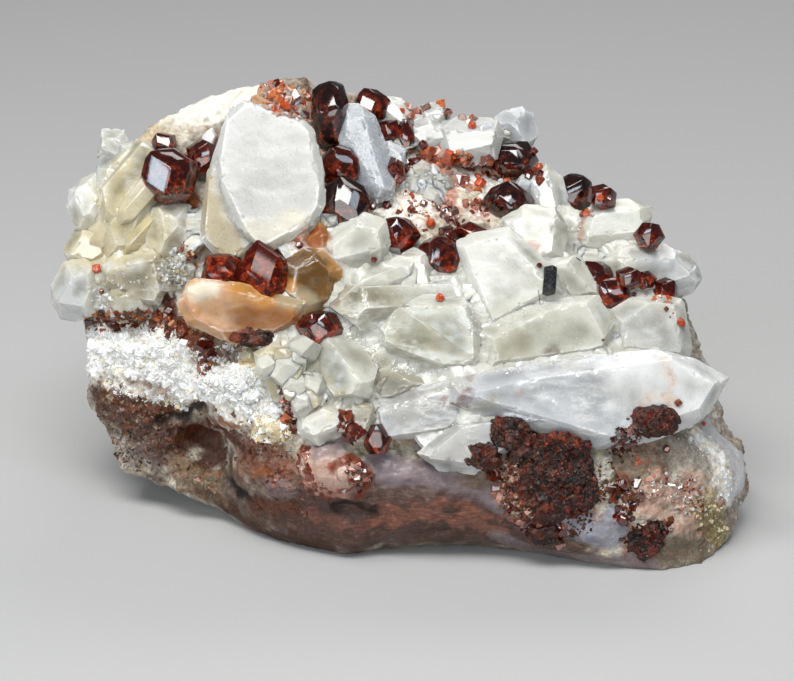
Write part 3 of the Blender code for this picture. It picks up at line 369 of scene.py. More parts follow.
CRYSTAL: tuple[Stroke, ...] = (
    Stroke(((95, 150), (120, 200), (90, 245), (150, 240)), 34, Tint.CREAM, 0.85),
    Stroke(((120, 240), (150, 225), (135, 160)), 28, Tint.YELLOW, 0.45),
    Stroke(((100, 165), (120, 150)), 10, Tint.BLUISH, 0.5),
    Stroke(((75, 200), (90, 215)), 14, Tint.WHITE, 0.7),
    Stroke(((150, 215), (175, 245)), 16, Tint.OLIVE, 0.5),
    Stroke(((75, 285), (70, 310)), 18, Tint.BLUISH, 0.6),
    Stroke(((205, 170), (212, 215), (228, 250)), 18, Tint.STRAW, 0.9),
    Stroke(((238, 195), (243, 199)), 2, Tint.ASH, 0.7, ragged=1.6),
    Stroke(((250, 232), (275, 240), (296, 220)), 14, Tint.CREAM, 0.35),
    Stroke(((450, 130), (480, 132), (470, 145)), 30, Tint.PEARL, 0.5),
    Stroke(((335, 305), (370, 300), (385, 310)), 26, Tint.STRAW, 0.6),
    Stroke(((120, 290), (150, 285), (165, 275)), 22, Tint.STRAW, 0.75),
    Stroke(((270, 348), (296, 366), (312, 396)), 26, Tint.CREAM, 0.85, rust=0.1),
    Stroke(((384, 400), (420, 415), (440, 440)), 34, Tint.GREY, 0.8),
    Stroke(((440, 440), (470, 430)), 14, Tint.PEARL, 0.7),
    Stroke(((470, 270), (500, 255), (515, 290)), 30, Tint.WHITE, 0.35),
    Stroke(((380, 345), (430, 330), (450, 360)), 34, Tint.GREENISH, 0.7),
    Stroke(((400, 350), (425, 340)), 14, Tint.OLIVE, 0.6),
    Stroke(((500, 330), (560, 345)), 30, Tint.GREENISH, 0.6),
    Stroke(((505, 350), (520, 340)), 12, Tint.OLIVE, 0.5),
    Stroke(((414, 342),), 4, Tint.WHITE, 0.9),
    Stroke(((445, 403), (463, 402), (470, 396)), 6, Tint.BLOOD, 0.5, rust=1.0, ragged=0.9),
    Stroke(((455, 376), (470, 378)), 6, Tint.BLOOD, 0.45, rust=1.0, ragged=0.9),
    Stroke(((475, 405), (492, 402)), 7, Tint.OLIVE, 0.5),
    Stroke(((521, 393),), 5, Tint.SALMON, 0.4),
    Stroke(((533, 248),), 7, Tint.ORANGE, 0.75),
    Stroke(((540, 238), (550, 232)), 12, Tint.GREENISH, 0.6),
    Stroke(((581, 236), (586, 214)), 6, Tint.SALMON, 0.6),
    Stroke(((552, 352),), 8, Tint.MAUVE, 0.6),
    Stroke(((664, 362), (672, 382), (665, 400)), 5, Tint.AMBER, 0.6, rust=0.8, ragged=0.9),
    Stroke(((635, 415), (650, 400), (672, 402)), 6, Tint.PEACH, 0.6, rust=0.8, ragged=0.9),
    Stroke(((301, 268), (306, 290), (308, 305)), 2, Tint.RUST, 0.8, rust=0.8, ragged=0.9),
    Stroke(((296, 264), (306, 262), (318, 285)), 22, Tint.TEA, 0.95),
    Stroke(((285, 300), (308, 300)), 11, Tint.OLIVE, 0.7),
    Stroke(((222, 322), (260, 318), (285, 322)), 13, Tint.HONEY, 0.8),
    Stroke(((188, 300), (212, 292), (215, 318)), 20, Tint.PEACH, 0.95, rust=0.15),
    Stroke(((196, 290), (212, 288)), 9, Tint.IVORY, 0.8),
    Stroke(((310, 240), (320, 236)), 11, Tint.HONEY, 0.9, rust=0.5),
    Stroke(((640, 380), (700, 385)), 40, Tint.WHITE, 0.6),
    Stroke(((508, 118), (525, 140)), 22, Tint.BLUISH, 0.8),
    Stroke(((540, 190), (560, 200)), 18, Tint.BLUISH, 0.6),
    Stroke(((660, 260), (690, 285)), 22, Tint.BLUISH, 0.8),
    Stroke(((640, 325), (670, 340)), 22, Tint.BLUISH, 0.4),
)
CRUST: tuple[Stroke, ...] = (
    Stroke(((560, 452), (582, 462), (588, 498), (560, 490)), 17, Tint.PITCH, 0.95),
    Stroke(((530, 442), (562, 437), (592, 447)), 6, Tint.RUST, 0.85, ragged=0.8),
    Stroke(((512, 458), (530, 470), (548, 480)), 6, Tint.ROSE, 0.6, ragged=1.6),
    Stroke(((508, 488), (524, 506), (548, 516)), 9, Tint.RUST, 0.8, ragged=1.0),
    Stroke(((500, 476), (512, 464)), 7, Tint.CLAY, 0.8, ragged=0.8),
    Stroke(((502, 494), (510, 514), (528, 526)), 8, Tint.STREAK, 0.8, ragged=1.2),
    Stroke(((545, 520), (562, 524), (580, 520)), 5, Tint.MAUVE, 0.8, ragged=1.4),
    Stroke(((540, 508), (552, 518)), 4, Tint.RUST, 0.9),
    Stroke(((604, 464), (606, 486)), 9, Tint.OLIVE, 0.9, ragged=0.7),
    Stroke(((600, 505), (606, 518)), 6, Tint.SLATE, 0.7, ragged=0.9),
    Stroke(((508, 425), (520, 432)), 8, Tint.BROWN, 0.8, ragged=0.9),
    Stroke(((480, 455), (490, 452)), 6, Tint.RUST, 0.8, ragged=0.9),
    Stroke(((640, 415), (670, 416), (672, 430)), 9, Tint.RUST, 0.8, ragged=1.0),
    Stroke(((632, 430), (650, 445)), 8, Tint.CLAY, 0.8, ragged=1.2),
    Stroke(((640, 540), (660, 534)), 9, Tint.PITCH, 0.9, ragged=0.9),
    Stroke(((655, 526), (672, 530)), 5, Tint.EARTH, 0.8, ragged=0.9),
    Stroke(((225, 334), (240, 340), (256, 338)), 11, Tint.RUST, 0.9, ragged=1.0),
    Stroke(((222, 340), (228, 344)), 4, Tint.ORANGE, 0.6, ragged=1.2),
)
BOND: tuple[Stroke, ...] = (
    Stroke(((95, 150), (120, 200), (90, 245), (150, 240)), 34, Tint.CREAM, 0.85),
    Stroke(((95, 300), (130, 290), (175, 290)), 18, Tint.GREENISH, 0.7),
    Stroke(((190, 200), (190, 225), (195, 255)), 8, Tint.HONEY, 0.9, rust=0.8, ragged=0.9),
    Stroke(((300, 245), (330, 240)), 12, Tint.HONEY, 0.8, rust=0.8, ragged=0.9),
    Stroke(((370, 370), (400, 385), (350, 350)), 14, Tint.OLIVE, 0.8, ragged=0.9),
    Stroke(((445, 392), (470, 380), (520, 372)), 5, Tint.SALMON, 0.5, rust=0.8, ragged=1.2),
    Stroke(((470, 470), (500, 455), (640, 440)), 16, Tint.PEACH, 0.5, rust=0.4, ragged=1.2),
    Stroke(((275, 345), (285, 390), (290, 425)), 9, Tint.SAND, 0.9, rust=1.0, ragged=1.0),
)
STROKES = {"matrix": ROCK, "quartz": CRYSTAL, "bond": BOND, "crust": CRUST}


@dataclass
class Hit:
    """Where a straight line meets a surface."""

    place: Vector
    normal: Vector
    name: str


class Ground:
    """The surfaces that lines of sight meet."""

    def __init__(self, pieces: list[bpy.types.Object]) -> None:
        """Builds a search tree over each piece."""
        graph = bpy.context.evaluated_depsgraph_get()
        self.trees = [(piece.name, BVHTree.FromObject(piece, graph)) for piece in pieces]

    def cast(self, start: Vector, way: Vector) -> Hit | None:
        """The first surface that a line meets.

        Args:
            start: where the line starts.
            way: its direction.

        Returns:
            The hit, or None where the line meets nothing.
        """
        best: Hit | None = None
        least = math.inf
        for name, tree in self.trees:
            place, normal, _, gap = tree.ray_cast(start, way)
            if place is not None and gap < least:
                least = gap
                best = Hit(place, normal if normal.dot(way) < 0 else -normal, name)
        return best

    def meet(self, column: float, row: float) -> Hit | None:
        """What the camera sees at a point of the picture."""
        return self.cast(VIEW.eye, VIEW.sight(column, row))


class Painter:
    """Lays the colours of the strokes on the pieces' points."""

    def __init__(self, ground: Ground) -> None:
        """Finds where each stroke lies on the ground."""
        self.laid: dict[str, list[tuple[Stroke, np.ndarray, float]]] = {}
        for family, strokes in STROKES.items():
            self.laid[family] = []
            for stroke in strokes:
                met = [ground.meet(*point) for point in stroke.path]
                places = np.array([found.place for found in met if found])
                if len(places):
                    self.laid[family].append((stroke, places, stroke.radius * VIEW.point_size))

    @staticmethod
    def away(points: np.ndarray, path: np.ndarray) -> np.ndarray:
        """The distance from each point to a path of straight runs."""
        least = np.linalg.norm(points - path[0], axis=1)
        for start, end in zip(path, path[1:]):
            run = end - start
            share = np.clip((points - start) @ run / max(run @ run, 1e-12), 0, 1)
            least = np.minimum(least, np.linalg.norm(points - start - share[:, None] * run, axis=1))
        return least

    def paint(self, piece: bpy.types.Object, family: str, base: Tint | np.ndarray,
              edges: np.ndarray | None = None, facets: np.ndarray | None = None) -> dict[str, np.ndarray]:
        """Writes the tint and the marks of each point of a piece.

        Args:
            piece: the piece to paint.
            family: the strokes' family.
            base: the colour where no stroke lies, or one for each point.
            edges: how near each point is to a sharp edge, from 0 to 1.
            facets: the tone of each point's facet, from 0 to 1, which takes gloss's place.

        Returns:
            The marks by name: rust, gloss, pure, grain and lift at each point.
        """
        points, _ = points_of(piece)
        count = len(points)
        tint = np.tile(np.array(base.value), (count, 1)) if isinstance(base, Tint) else base
        marks = {"rust": np.zeros(count), "gloss": np.full(count, 0.3), "pure": np.full(count, 0.3)}
        marks["grain"] = np.full(count, 0.6)
        lift = np.zeros(count)
        ragged = fractal(points, 1.8 * MM, 4)
        for stroke, path, radius in self.laid[family]:
            away = self.away(points, path) / radius
            weight = np.clip((1.25 - away + ragged * stroke.ragged) * 1.6, 0, 1) * stroke.strength
            tint += (np.array(stroke.tint.value) - tint) * weight[:, None]
            for name in marks:
                marks[name] += (getattr(stroke, name) - marks[name]) * weight
            lift += stroke.lift * np.clip(1.15 - away ** 2 + ragged * 0.2, 0, 1)
        colours = piece.data.color_attributes.new("tint", "FLOAT_COLOR", "POINT")
        colours.data.foreach_set("color", np.c_[tint, np.ones(count)].ravel())
        signs = piece.data.color_attributes.new("marks", "FLOAT_COLOR", "POINT")
        rims = np.zeros(count) if edges is None else edges
        second = marks["gloss"] if facets is None else facets
        values = np.c_[marks["rust"], second, marks["pure"], rims]
        signs.data.foreach_set("color", np.clip(values, 0, 1).ravel())
        return {**marks, "lift": lift}


class Shader:
    """A material's node tree, built one node at a time."""

    def __init__(self, name: str) -> None:
        """Starts a material with its Principled shader."""
        self.material = bpy.data.materials.new(name)
        self.material.use_nodes = True
        self.tree = self.material.node_tree
        self.surface = self.tree.nodes["Principled BSDF"]
        self.place = self.node("ShaderNodeTexCoord").outputs["Object"]

    def node(self, kind: str, **settings: object) -> bpy.types.Node:
        """A new node with its settings."""
        made = self.tree.nodes.new(kind)
        for key, value in settings.items():
            setattr(made, key, value)
        return made

    def link(self, source: object, target: object) -> None:
        """Joins an output to an input, or sets the input to a value."""
        if isinstance(source, bpy.types.NodeSocket):
            self.tree.links.new(source, target)
        else:
            target.default_value = source

    def noise(self, scale: float, detail: float = 4.0, rough: float = 0.55,
              stretch: tuple[float, float, float] = (1, 1, 1)) -> object:
        """Cloudy noise with lumps of about a scale in metres, finer along a larger stretch."""
        made = self.node("ShaderNodeTexNoise")
        place = self.place
        if stretch != (1, 1, 1):
            mapping = self.node("ShaderNodeMapping")
            mapping.inputs["Scale"].default_value = stretch
            self.link(place, mapping.inputs["Vector"])
            place = mapping.outputs["Vector"]
        self.link(place, made.inputs["Vector"])
        made.inputs["Scale"].default_value = 1 / scale
        made.inputs["Detail"].default_value = detail
        made.inputs["Roughness"].default_value = rough
        return made.outputs["Fac"]

    def cells(self, scale: float, feature: str = "F1") -> object:
        """The distance to the centres or edges of cells of about a scale in metres."""
        made = self.node("ShaderNodeTexVoronoi", feature=feature)
        self.link(self.place, made.inputs["Vector"])
        made.inputs["Scale"].default_value = 1 / scale
        return made.outputs["Distance"]

    def ramp(self, value: object, low: float, high: float, start: float = 0, end: float = 1) -> object:
        """A value carried from the span low to high onto start to end, and held there."""
        made = self.node("ShaderNodeMapRange", clamp=True)
        self.link(value, made.inputs["Value"])
        for key, number in zip(("From Min", "From Max", "To Min", "To Max"), (low, high, start, end)):
            made.inputs[key].default_value = number
        return made.outputs["Result"]

    def maths(self, kind: str, first: object, second: object) -> object:
        """Arithmetic on two values."""
        made = self.node("ShaderNodeMath", operation=kind)
        self.link(first, made.inputs[0])
        self.link(second, made.inputs[1])
        return made.outputs[0]

    def mix(self, share: object, first: object, second: object, kind: str = "MIX") -> object:
        """Two colours mixed by a share."""
        made = self.node("ShaderNodeMix", data_type="RGBA", blend_type=kind)
        self.link(share, made.inputs[0])
        self.link((*first, 1) if isinstance(first, tuple) else first, made.inputs[6])
        self.link((*second, 1) if isinstance(second, tuple) else second, made.inputs[7])
        return made.outputs[2]

    def attribute(self, name: str) -> bpy.types.Node:
        """The colours that a mesh keeps under a name."""
        return self.node("ShaderNodeAttribute", attribute_name=name)

    def split(self, colour: object) -> tuple[object, object, object]:
        """The red, green and blue of a colour."""
        made = self.node("ShaderNodeSeparateColor")
        self.link(colour, made.inputs[0])
        return made.outputs[0], made.outputs[1], made.outputs[2]

    def bump(self, height: object, distance: float, strength: float, under: object = None) -> object:
        """A bumped normal, laid over another where one is given."""
        made = self.node("ShaderNodeBump")
        made.inputs["Strength"].default_value = strength
        made.inputs["Distance"].default_value = distance
        self.link(height, made.inputs["Height"])
        if under is not None:
            self.link(under, made.inputs["Normal"])
        return made.outputs["Normal"]

    def set(self, **values: object) -> None:
        """Sets the Principled shader's sockets by their names, with _ for a space."""
        for key, value in values.items():
            if isinstance(value, tuple) and len(value) == 3 and "Color" in key:
                value = (*value, 1)
            self.link(value, self.surface.inputs[key.replace("_", " ")])


@dataclass(frozen=True)
class StoneFinish:
    """The block: feldspar, massive quartz and rust, painted point by point."""

    name: str = "stone"

    def material(self) -> bpy.types.Material:
        """Builds the block's material."""
        shader = Shader(self.name)
        rust, gloss, pure = shader.split(shader.attribute("marks").outputs["Color"])
        cloud = shader.noise(1.6 * MM, 6)
        fine = shader.noise(0.35 * MM, 4, 0.7)
        stripe = shader.noise(0.6 * MM, 5, 0.6, stretch=(0.35, 1.0, 2.2))
        dirty = shader.ramp(pure, 0.1, 1, 1.0, 0.12)
        colour = shader.attribute("tint").outputs["Color"]
        share = shader.maths("MULTIPLY", shader.ramp(cloud, 0.32, 0.68, 0.0, 0.7), dirty)
        colour = shader.mix(share, colour, (0.5, 0.42, 0.36), "MULTIPLY")
        veins = shader.maths("MULTIPLY", shader.ramp(stripe, 0.38, 0.56, 0.75, 0.0), gloss)
        veins = shader.maths("MULTIPLY", veins, dirty)
        colour = shader.mix(veins, colour, (0.42, 0.32, 0.28), "MULTIPLY")
        pale = shader.maths("MULTIPLY", shader.ramp(stripe, 0.56, 0.7, 0.0, 0.35), gloss)
        pale = shader.maths("MULTIPLY", pale, dirty)
        colour = shader.mix(pale, colour, Tint.PEACH.value)
        dust = shader.maths("MULTIPLY", shader.ramp(fine, 0.35, 0.55, 0.7, 0.0), dirty)
        colour = shader.mix(dust, colour, (0.4, 0.32, 0.26), "MULTIPLY")
        stain = shader.ramp(shader.noise(0.9 * MM, 5, 0.6), 0.52, 0.62, 0.0, 0.55)
        stain = shader.maths("MULTIPLY", stain, shader.ramp(gloss, 0.3, 0.6, 1.0, 0.2))
        colour = shader.mix(stain, colour, Tint.SAND.value, "MULTIPLY")
        patchy = shader.ramp(shader.noise(2.4 * MM, 3), 0.42, 0.56)
        for size, low, tint in ((1.3, 0.53, Tint.RUST), (0.8, 0.58, Tint.ORANGE), (0.6, 0.57, Tint.SHADOW)):
            spots = shader.ramp(shader.noise(size * MM, 5, 0.7), low, low + 0.06)
            spots = shader.maths("MULTIPLY", spots, patchy)
            colour = shader.mix(shader.maths("MULTIPLY", spots, rust), colour, tint.value)
        grainy = shader.ramp(gloss, 0.3, 0.8, 1.0, 0.1)
        gap = shader.maths("MULTIPLY", shader.ramp(shader.cells(0.7 * MM), 0.42, 0.75, 0.0, 0.75), grainy)
        colour = shader.mix(gap, colour, (0.72, 0.6, 0.46), "MULTIPLY")
        relief = shader.bump(shader.maths("MULTIPLY", shader.cells(0.5 * MM), grainy), 0.3 * MM, 0.5)
        relief = shader.bump(shader.maths("MULTIPLY", grainy, fine), 0.25 * MM, 0.6, relief)
        shader.set(Base_Color=colour, Roughness=shader.ramp(gloss, 0, 1, 0.7, 0.2), Normal=relief)
        shader.set(Subsurface_Weight=0.6, Subsurface_Radius=(1, 0.8, 0.7), IOR=1.5)
        shader.set(Subsurface_Scale=0.6 * MM, Specular_IOR_Level=0.35)
        return shader.material


@dataclass(frozen=True)
class QuartzFinish:
    """Milky quartz: clearer in its heart and darkened there as painted shade, milkier and lighter towards its rims as
    a painted glow, with a glossy skin.
    """

    name: str
    tint: Tint = Tint.MILK
    clear: float = 0.75
    heart_shade: float = 0.4
    milk: float = 1.0
    rough: float = 0.1
    glow: float = 0.7 * MM
    gloss: float = 0.4

    def colour(self, shader: Shader, heart: object, edge: object, rust: object) -> object:
        """The quartz's colour: its heart darkened as painted shade, wisps, dust, a few edges brightened as painted
        highlights, and rust.

        Args:
            shader: the material that is built.
            heart: how far a point is in a clear part.
            edge: how near it is to a sharp edge.
            rust: how rusty it is.

        Returns:
            The colour's output.
        """
        large = shader.noise(5.0 * MM, 3, 0.5)
        fine = shader.noise(0.5 * MM, 5, 0.6)
        smoke = shader.noise(2.6 * MM, 5, 0.62, stretch=(0.5, 1.0, 1.5))
        colour = shader.attribute("tint").outputs["Color"]
        # painted shade: the colour darkens in the clear heart of each facet, away from the rims
        colour = shader.mix(shader.ramp(heart, 0, 1, 0.0, self.heart_shade), colour, (0.74, 0.74, 0.66), "MULTIPLY")
        ridge = shader.maths("ABSOLUTE", shader.maths("SUBTRACT", smoke, 0.5), 0.0)
        veil = shader.ramp(large, 0.42, 0.6)
        wisp = shader.maths("MULTIPLY", shader.ramp(ridge, 0.09, 0.0, 0.0, 0.5 * self.milk), veil)
        colour = shader.mix(wisp, colour, Tint.WHITE.value)
        clouds = shader.ramp(large, 0.5, 0.62, 0.0, 0.6 * self.milk)
        line = shader.maths("MULTIPLY", shader.ramp(ridge, 0.01, 0.002), clouds)
        colour = shader.mix(line, colour, Tint.WHITE.value)
        frost = shader.ramp(shader.noise(0.22 * MM, 3, 0.7), 0.35, 0.65, 0.35 * self.milk + 0.1, 0.0)
        colour = shader.mix(frost, colour, (0.78, 0.77, 0.72), "MULTIPLY")
        dust = shader.ramp(shader.cells(0.45 * MM), 0.2, 0.1, 0.0, 0.8 * self.milk)
        dust = shader.maths("MULTIPLY", dust, shader.ramp(smoke, 0.5, 0.6))
        colour = shader.mix(dust, colour, Tint.WHITE.value)
        # painted highlight: thin white lines along some sharp edges
        glint = shader.ramp(large, 0.46, 0.6, 0.08, 0.8)
        glint = shader.maths("MULTIPLY", shader.ramp(edge, 0.84, 0.97), glint)
        glint = shader.maths("MULTIPLY", glint, shader.ramp(fine, 0.4, 0.55, 0.3, 1.0))
        colour = shader.mix(glint, colour, Tint.WHITE.value)
        seam = shader.ramp(shader.noise(0.9 * MM, 5), 0.5, 0.6)
        stain = shader.mix(shader.ramp(fine, 0.4, 0.6), Tint.RUST.value, Tint.ORANGE.value)
        return shader.mix(shader.maths("MULTIPLY", seam, rust), colour, stain)

    def material(self) -> bpy.types.Material:
        """Builds a milky quartz of this finish's colour and clarity."""
        shader = Shader(self.name)
        signs = shader.attribute("marks")
        rust, facet, _ = shader.split(signs.outputs["Color"])
        edge = signs.outputs["Alpha"]
        cloud = shader.noise(4.5 * MM, 3, 0.45)
        fine = shader.noise(0.5 * MM, 5, 0.6)
        # the heart fades near sharp edges, so the rims come out lighter as a painted glow
        inside = shader.maths("SUBTRACT", shader.ramp(cloud, 0.3, 0.66, 1.15, 0.1), shader.ramp(edge, 0, 1, 0, 0.7))
        heart = shader.maths("MULTIPLY", inside, shader.ramp(facet, 0, 1, 1.0, 0.65))
        glass = shader.ramp(heart, 0, 1, self.clear * 0.4, self.clear)
        shader.set(Base_Color=self.colour(shader, heart, edge, rust), Transmission_Weight=glass)
        shader.set(Roughness=shader.ramp(fine, 0.35, 0.7, self.rough, self.rough + 0.15))
        wavy = shader.bump(shader.noise(1.4 * MM, 3), 0.12 * MM, 0.35)
        shader.set(Normal=shader.bump(fine, 0.06 * MM, 0.2, wavy), IOR=1.54, Specular_IOR_Level=self.gloss)
        shader.set(Coat_Weight=0.5 * self.gloss, Coat_Roughness=0.03)
        shader.set(Subsurface_Weight=1.0, Subsurface_Radius=(1.0, 0.95, 0.85))
        shader.set(Subsurface_Scale=self.glow)
        return shader.material


@dataclass(frozen=True)
class GarnetFinish:
    """Deep red garnet: near black, with orange-red flaws and sparks shown in its lower part as a painted glow."""

    name: str
    body: tuple[float, float, float] = (0.055, 0.005, 0.003)
    ember: tuple[float, float, float] = (0.36, 0.036, 0.009)
    spark: tuple[float, float, float] = (0.62, 0.13, 0.035)
    clear: float = 0.65
    rough: float = 0.03
    inner: tuple[float, float, float] = (0.93, 0.3, 0.06)
    density: float = 1800.0
    gloss: float = 0.5

    def material(self) -> bpy.types.Material:
        """Builds a garnet of this finish's depth."""
        shader = Shader(self.name)
        glow, _, _ = shader.split(shader.attribute("marks").outputs["Color"])
        cloud = shader.noise(1.1 * MM, 5, 0.65)
        fine = shader.noise(0.4 * MM, 5, 0.65)
        # painted glow: the flaws and their sparks show only where the height mark is low; the flaws also make the
        # garnet less clear
        flaw_and_glow = shader.maths("MULTIPLY", shader.ramp(cloud, 0.46, 0.58), glow)
        colour = shader.mix(flaw_and_glow, self.body, self.ember)
        spark = shader.maths("MULTIPLY", shader.ramp(fine, 0.54, 0.6), flaw_and_glow)
        colour = shader.mix(spark, colour, self.spark)
        relief = shader.bump(fine, 0.03 * MM, 0.12)
        shader.set(Base_Color=colour, Roughness=shader.ramp(fine, 0.3, 0.75, self.rough, self.rough + 0.1))
        shader.set(Normal=relief, IOR=1.76, Transmission_Weight=shader.ramp(flaw_and_glow, 0, 1, self.clear, 0.2))
        shader.set(Specular_IOR_Level=self.gloss)
        depth = shader.node("ShaderNodeVolumeAbsorption")
        depth.inputs["Color"].default_value = (*self.inner, 1)
        depth.inputs["Density"].default_value = self.density
        out = shader.tree.nodes["Material Output"]
        shader.link(depth.outputs["Volume"], out.inputs["Volume"])
        return shader.material


@dataclass(frozen=True)
class GrainFinish:
    """Small garnets, from bright orange beads to dark red grains, each in its own tint."""

    name: str = "garnet_grain"
    clear: float = 0.2

    def material(self) -> bpy.types.Material:
        """Builds the small garnets' material."""
        shader = Shader(self.name)
        cloud = shader.noise(0.5 * MM, 4, 0.6)
        colour = shader.attribute("tint").outputs["Color"]
        colour = shader.mix(shader.ramp(cloud, 0.38, 0.6, 0.5, 0.0), colour, (0.3, 0.14, 0.1), "MULTIPLY")
        relief = shader.bump(cloud, 0.08 * MM, 0.3)
        shader.set(Base_Color=colour, Roughness=shader.ramp(cloud, 0.3, 0.7, 0.06, 0.25), Normal=relief)
        shader.set(IOR=1.78, Transmission_Weight=self.clear, Coat_Weight=0.3, Coat_Roughness=0.05)
        shader.set(Subsurface_Weight=0.25, Subsurface_Radius=(1.0, 0.4, 0.2), Subsurface_Scale=0.4 * MM)
        return shader.material


@dataclass(frozen=True)
class CrustFinish:
    """Broken garnet: near black and brown with red rims and small flashes."""

    name: str = "garnet_crust"

    def material(self) -> bpy.types.Material:
        """Builds the broken garnet's material."""
        shader = Shader(self.name)
        cloud = shader.noise(1.1 * MM, 5, 0.65)
        fine = shader.noise(0.28 * MM, 4, 0.7)
        colour = shader.attribute("tint").outputs["Color"]
        colour = shader.mix(shader.ramp(cloud, 0.4, 0.6, 0.85, 0.0), colour, (0.14, 0.05, 0.03), "MULTIPLY")
        colour = shader.mix(shader.ramp(fine, 0.56, 0.66, 0.0, 0.5), colour, Tint.RUST.value)
        chip = shader.ramp(shader.cells(0.55 * MM), 0.2, 0.12)
        chip = shader.maths("MULTIPLY", chip, shader.ramp(cloud, 0.46, 0.56))
        colour = shader.mix(chip, colour, Tint.STREAK.value)
        relief = shader.bump(shader.cells(0.5 * MM), 0.3 * MM, 0.5)
        relief = shader.bump(fine, 0.15 * MM, 0.5, relief)
        shader.set(Base_Color=colour, Roughness=shader.ramp(cloud, 0.35, 0.65, 0.3, 0.65), Normal=relief)
        shader.set(IOR=1.6, Specular_IOR_Level=0.3)
        return shader.material


@dataclass(frozen=True)
class CrumbFinish:
    """Loose-looking crumbs of feldspar, each in its own tint."""

    name: str
    rough: float = 0.45
    dirt: float = 0.25

    def material(self) -> bpy.types.Material:
        """Builds the crumbs' material."""
        shader = Shader(self.name)
        cloud = shader.noise(0.7 * MM, 4, 0.6)
        colour = shader.attribute("tint").outputs["Color"]
        colour = shader.mix(shader.ramp(cloud, 0.4, 0.62, self.dirt, 0.0), colour, (0.7, 0.62, 0.52), "MULTIPLY")
        relief = shader.bump(shader.noise(0.25 * MM, 4, 0.7), 0.1 * MM, 0.35)
        shader.set(Base_Color=colour, Roughness=self.rough, Normal=relief, IOR=1.52)
        shader.set(Subsurface_Weight=0.5, Subsurface_Radius=(1.0, 0.9, 0.8), Subsurface_Scale=0.7 * MM)
        return shader.material


@dataclass(frozen=True)
class SchorlFinish:
    """Black schorl with fine stripes along the crystal."""

    name: str = "schorl"

    def material(self) -> bpy.types.Material:
        """Builds the black material."""
        shader = Shader(self.name)
        fine = shader.noise(0.25 * MM, 4, 0.6)
        colour = shader.mix(shader.ramp(fine, 0.4, 0.7), (0.006, 0.006, 0.007), (0.04, 0.045, 0.045))
        shader.set(Base_Color=colour, Roughness=shader.ramp(fine, 0.3, 0.7, 0.12, 0.35))
        shader.set(Normal=shader.bump(fine, 0.05 * MM, 0.3))
        return shader.material


def finish_piece(piece: bpy.types.Object, material: bpy.types.Material, node: str = "") -> None:
    """Gives a piece its material, its body and what it stands for.

    Args:
        piece: the finished piece.
        material: its material.
        node: the CAD node that it replaces, if any.
    """
    piece.data.materials.clear()
    piece.data.materials.append(material)
    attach(piece, "root")
    if node:
        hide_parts(node)
    LOG.info("%s: %d faces", piece.name, len(piece.data.polygons))


@dataclass
class Block:
    """The broken block of feldspar and massive quartz."""

    voxel: float = 0.6 * MM
    relief: float = 0.5 * MM
    foot: float = 0.6 * MM

    def seen(self, piece: bpy.types.Object) -> np.ndarray:
        """Marks the faces that the camera sees between the crystals."""
        crystals = [node for name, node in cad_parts.items() if name != "matrix"]
        cover = Ground(crystals)
        marks = []
        for face in piece.data.polygons:
            way = VIEW.eye - face.center
            open_sky = face.normal.dot(way) > 0
            if open_sky:
                hit = cover.cast(face.center + way.normalized() * 0.5 * MM, way.normalized())
                open_sky = hit is None
            marks.append(open_sky)
        return np.array(marks)

    def build(self) -> bpy.types.Object:
        """Builds the block's fine surface from its solid, finest where it is seen."""
        piece = copy_of("matrix", "matrix_rock")
        apply(piece, "REMESH", mode="VOXEL", voxel_size=self.voxel)
        seen = self.seen(piece)
        choose(piece)
        bpy.ops.object.mode_set(mode="EDIT")
        bpy.ops.mesh.select_mode(type="FACE")
        bpy.ops.mesh.select_all(action="DESELECT")
        bpy.ops.object.mode_set(mode="OBJECT")
        piece.data.polygons.foreach_set("select", seen)
        bpy.ops.object.mode_set(mode="EDIT")
        bpy.ops.mesh.subdivide(number_cuts=1)
        bpy.ops.object.mode_set(mode="OBJECT")
        return piece

    def roughen(self, piece: bpy.types.Object, marks: dict[str, np.ndarray]) -> None:
        """Breaks the block's surface, more where its marks say grain."""
        points, normals = points_of(piece)
        coarse = fractal(points, 4.5 * MM, 4) * 0.7 + steps(points, 3.0 * MM) * 0.5 + steps(points, 1.5 * MM) * 0.25
        crumbs = 0.45 - cells(points, 1.1 * MM)[0]
        fine = fractal(points, 0.9 * MM, 3)
        grain = marks["grain"]
        push = self.relief * (coarse * (0.4 + grain) - 0.3 + grain * (1.5 * crumbs + 0.8 * fine)) + marks["lift"]
        low = np.clip((points[:, 2] - self.foot) / (3 * MM), 0, 1)
        points += normals * (push * low)[:, None]
        points[:, 2] = np.maximum(points[:, 2], 0)
        move_points(piece, points)

    def bare(self, points: np.ndarray) -> np.ndarray:
        """The bare block's colour: pale feldspar with grey quartz, clay, mica and rust in it.

        Args:
            points: the block's points.

        Returns:
            A colour for each point.
        """
        tint = np.tile(np.array(Tint.MILK.value), (len(points), 1))
        for grain, least, other in (
            (17, 0.0, Tint.CLAY), (12, 0.05, Tint.GREY), (9, 0.15, Tint.RIME), (6, 0.3, Tint.STREAK),
            (3.5, 0.35, Tint.EARTH), (4.5, 0.35, Tint.MAUVE),
        ):
            weight = np.clip((fractal(points + grain, grain * MM) - least) * 2, 0, 0.6)[:, None]
            tint += (np.array(other.value) - tint) * weight
        pale = np.clip((points[:, 0] - 20 * MM) / (6 * MM), 0, 1) * np.clip(points[:, 2] / (8 * MM) - 1, 0, 0.8)
        return tint + (np.array(Tint.PEARL.value) - tint) * pale[:, None]

    def dress(self, painter: Painter) -> bpy.types.Object:
        """Builds, paints and roughens the block."""
        piece = self.build()
        marks = painter.paint(piece, "matrix", self.bare(points_of(piece)[0]))
        self.roughen(piece, marks)
        choose(piece)
        bpy.ops.object.shade_smooth()
        finish_piece(piece, StoneFinish().material(), "matrix")
        return piece


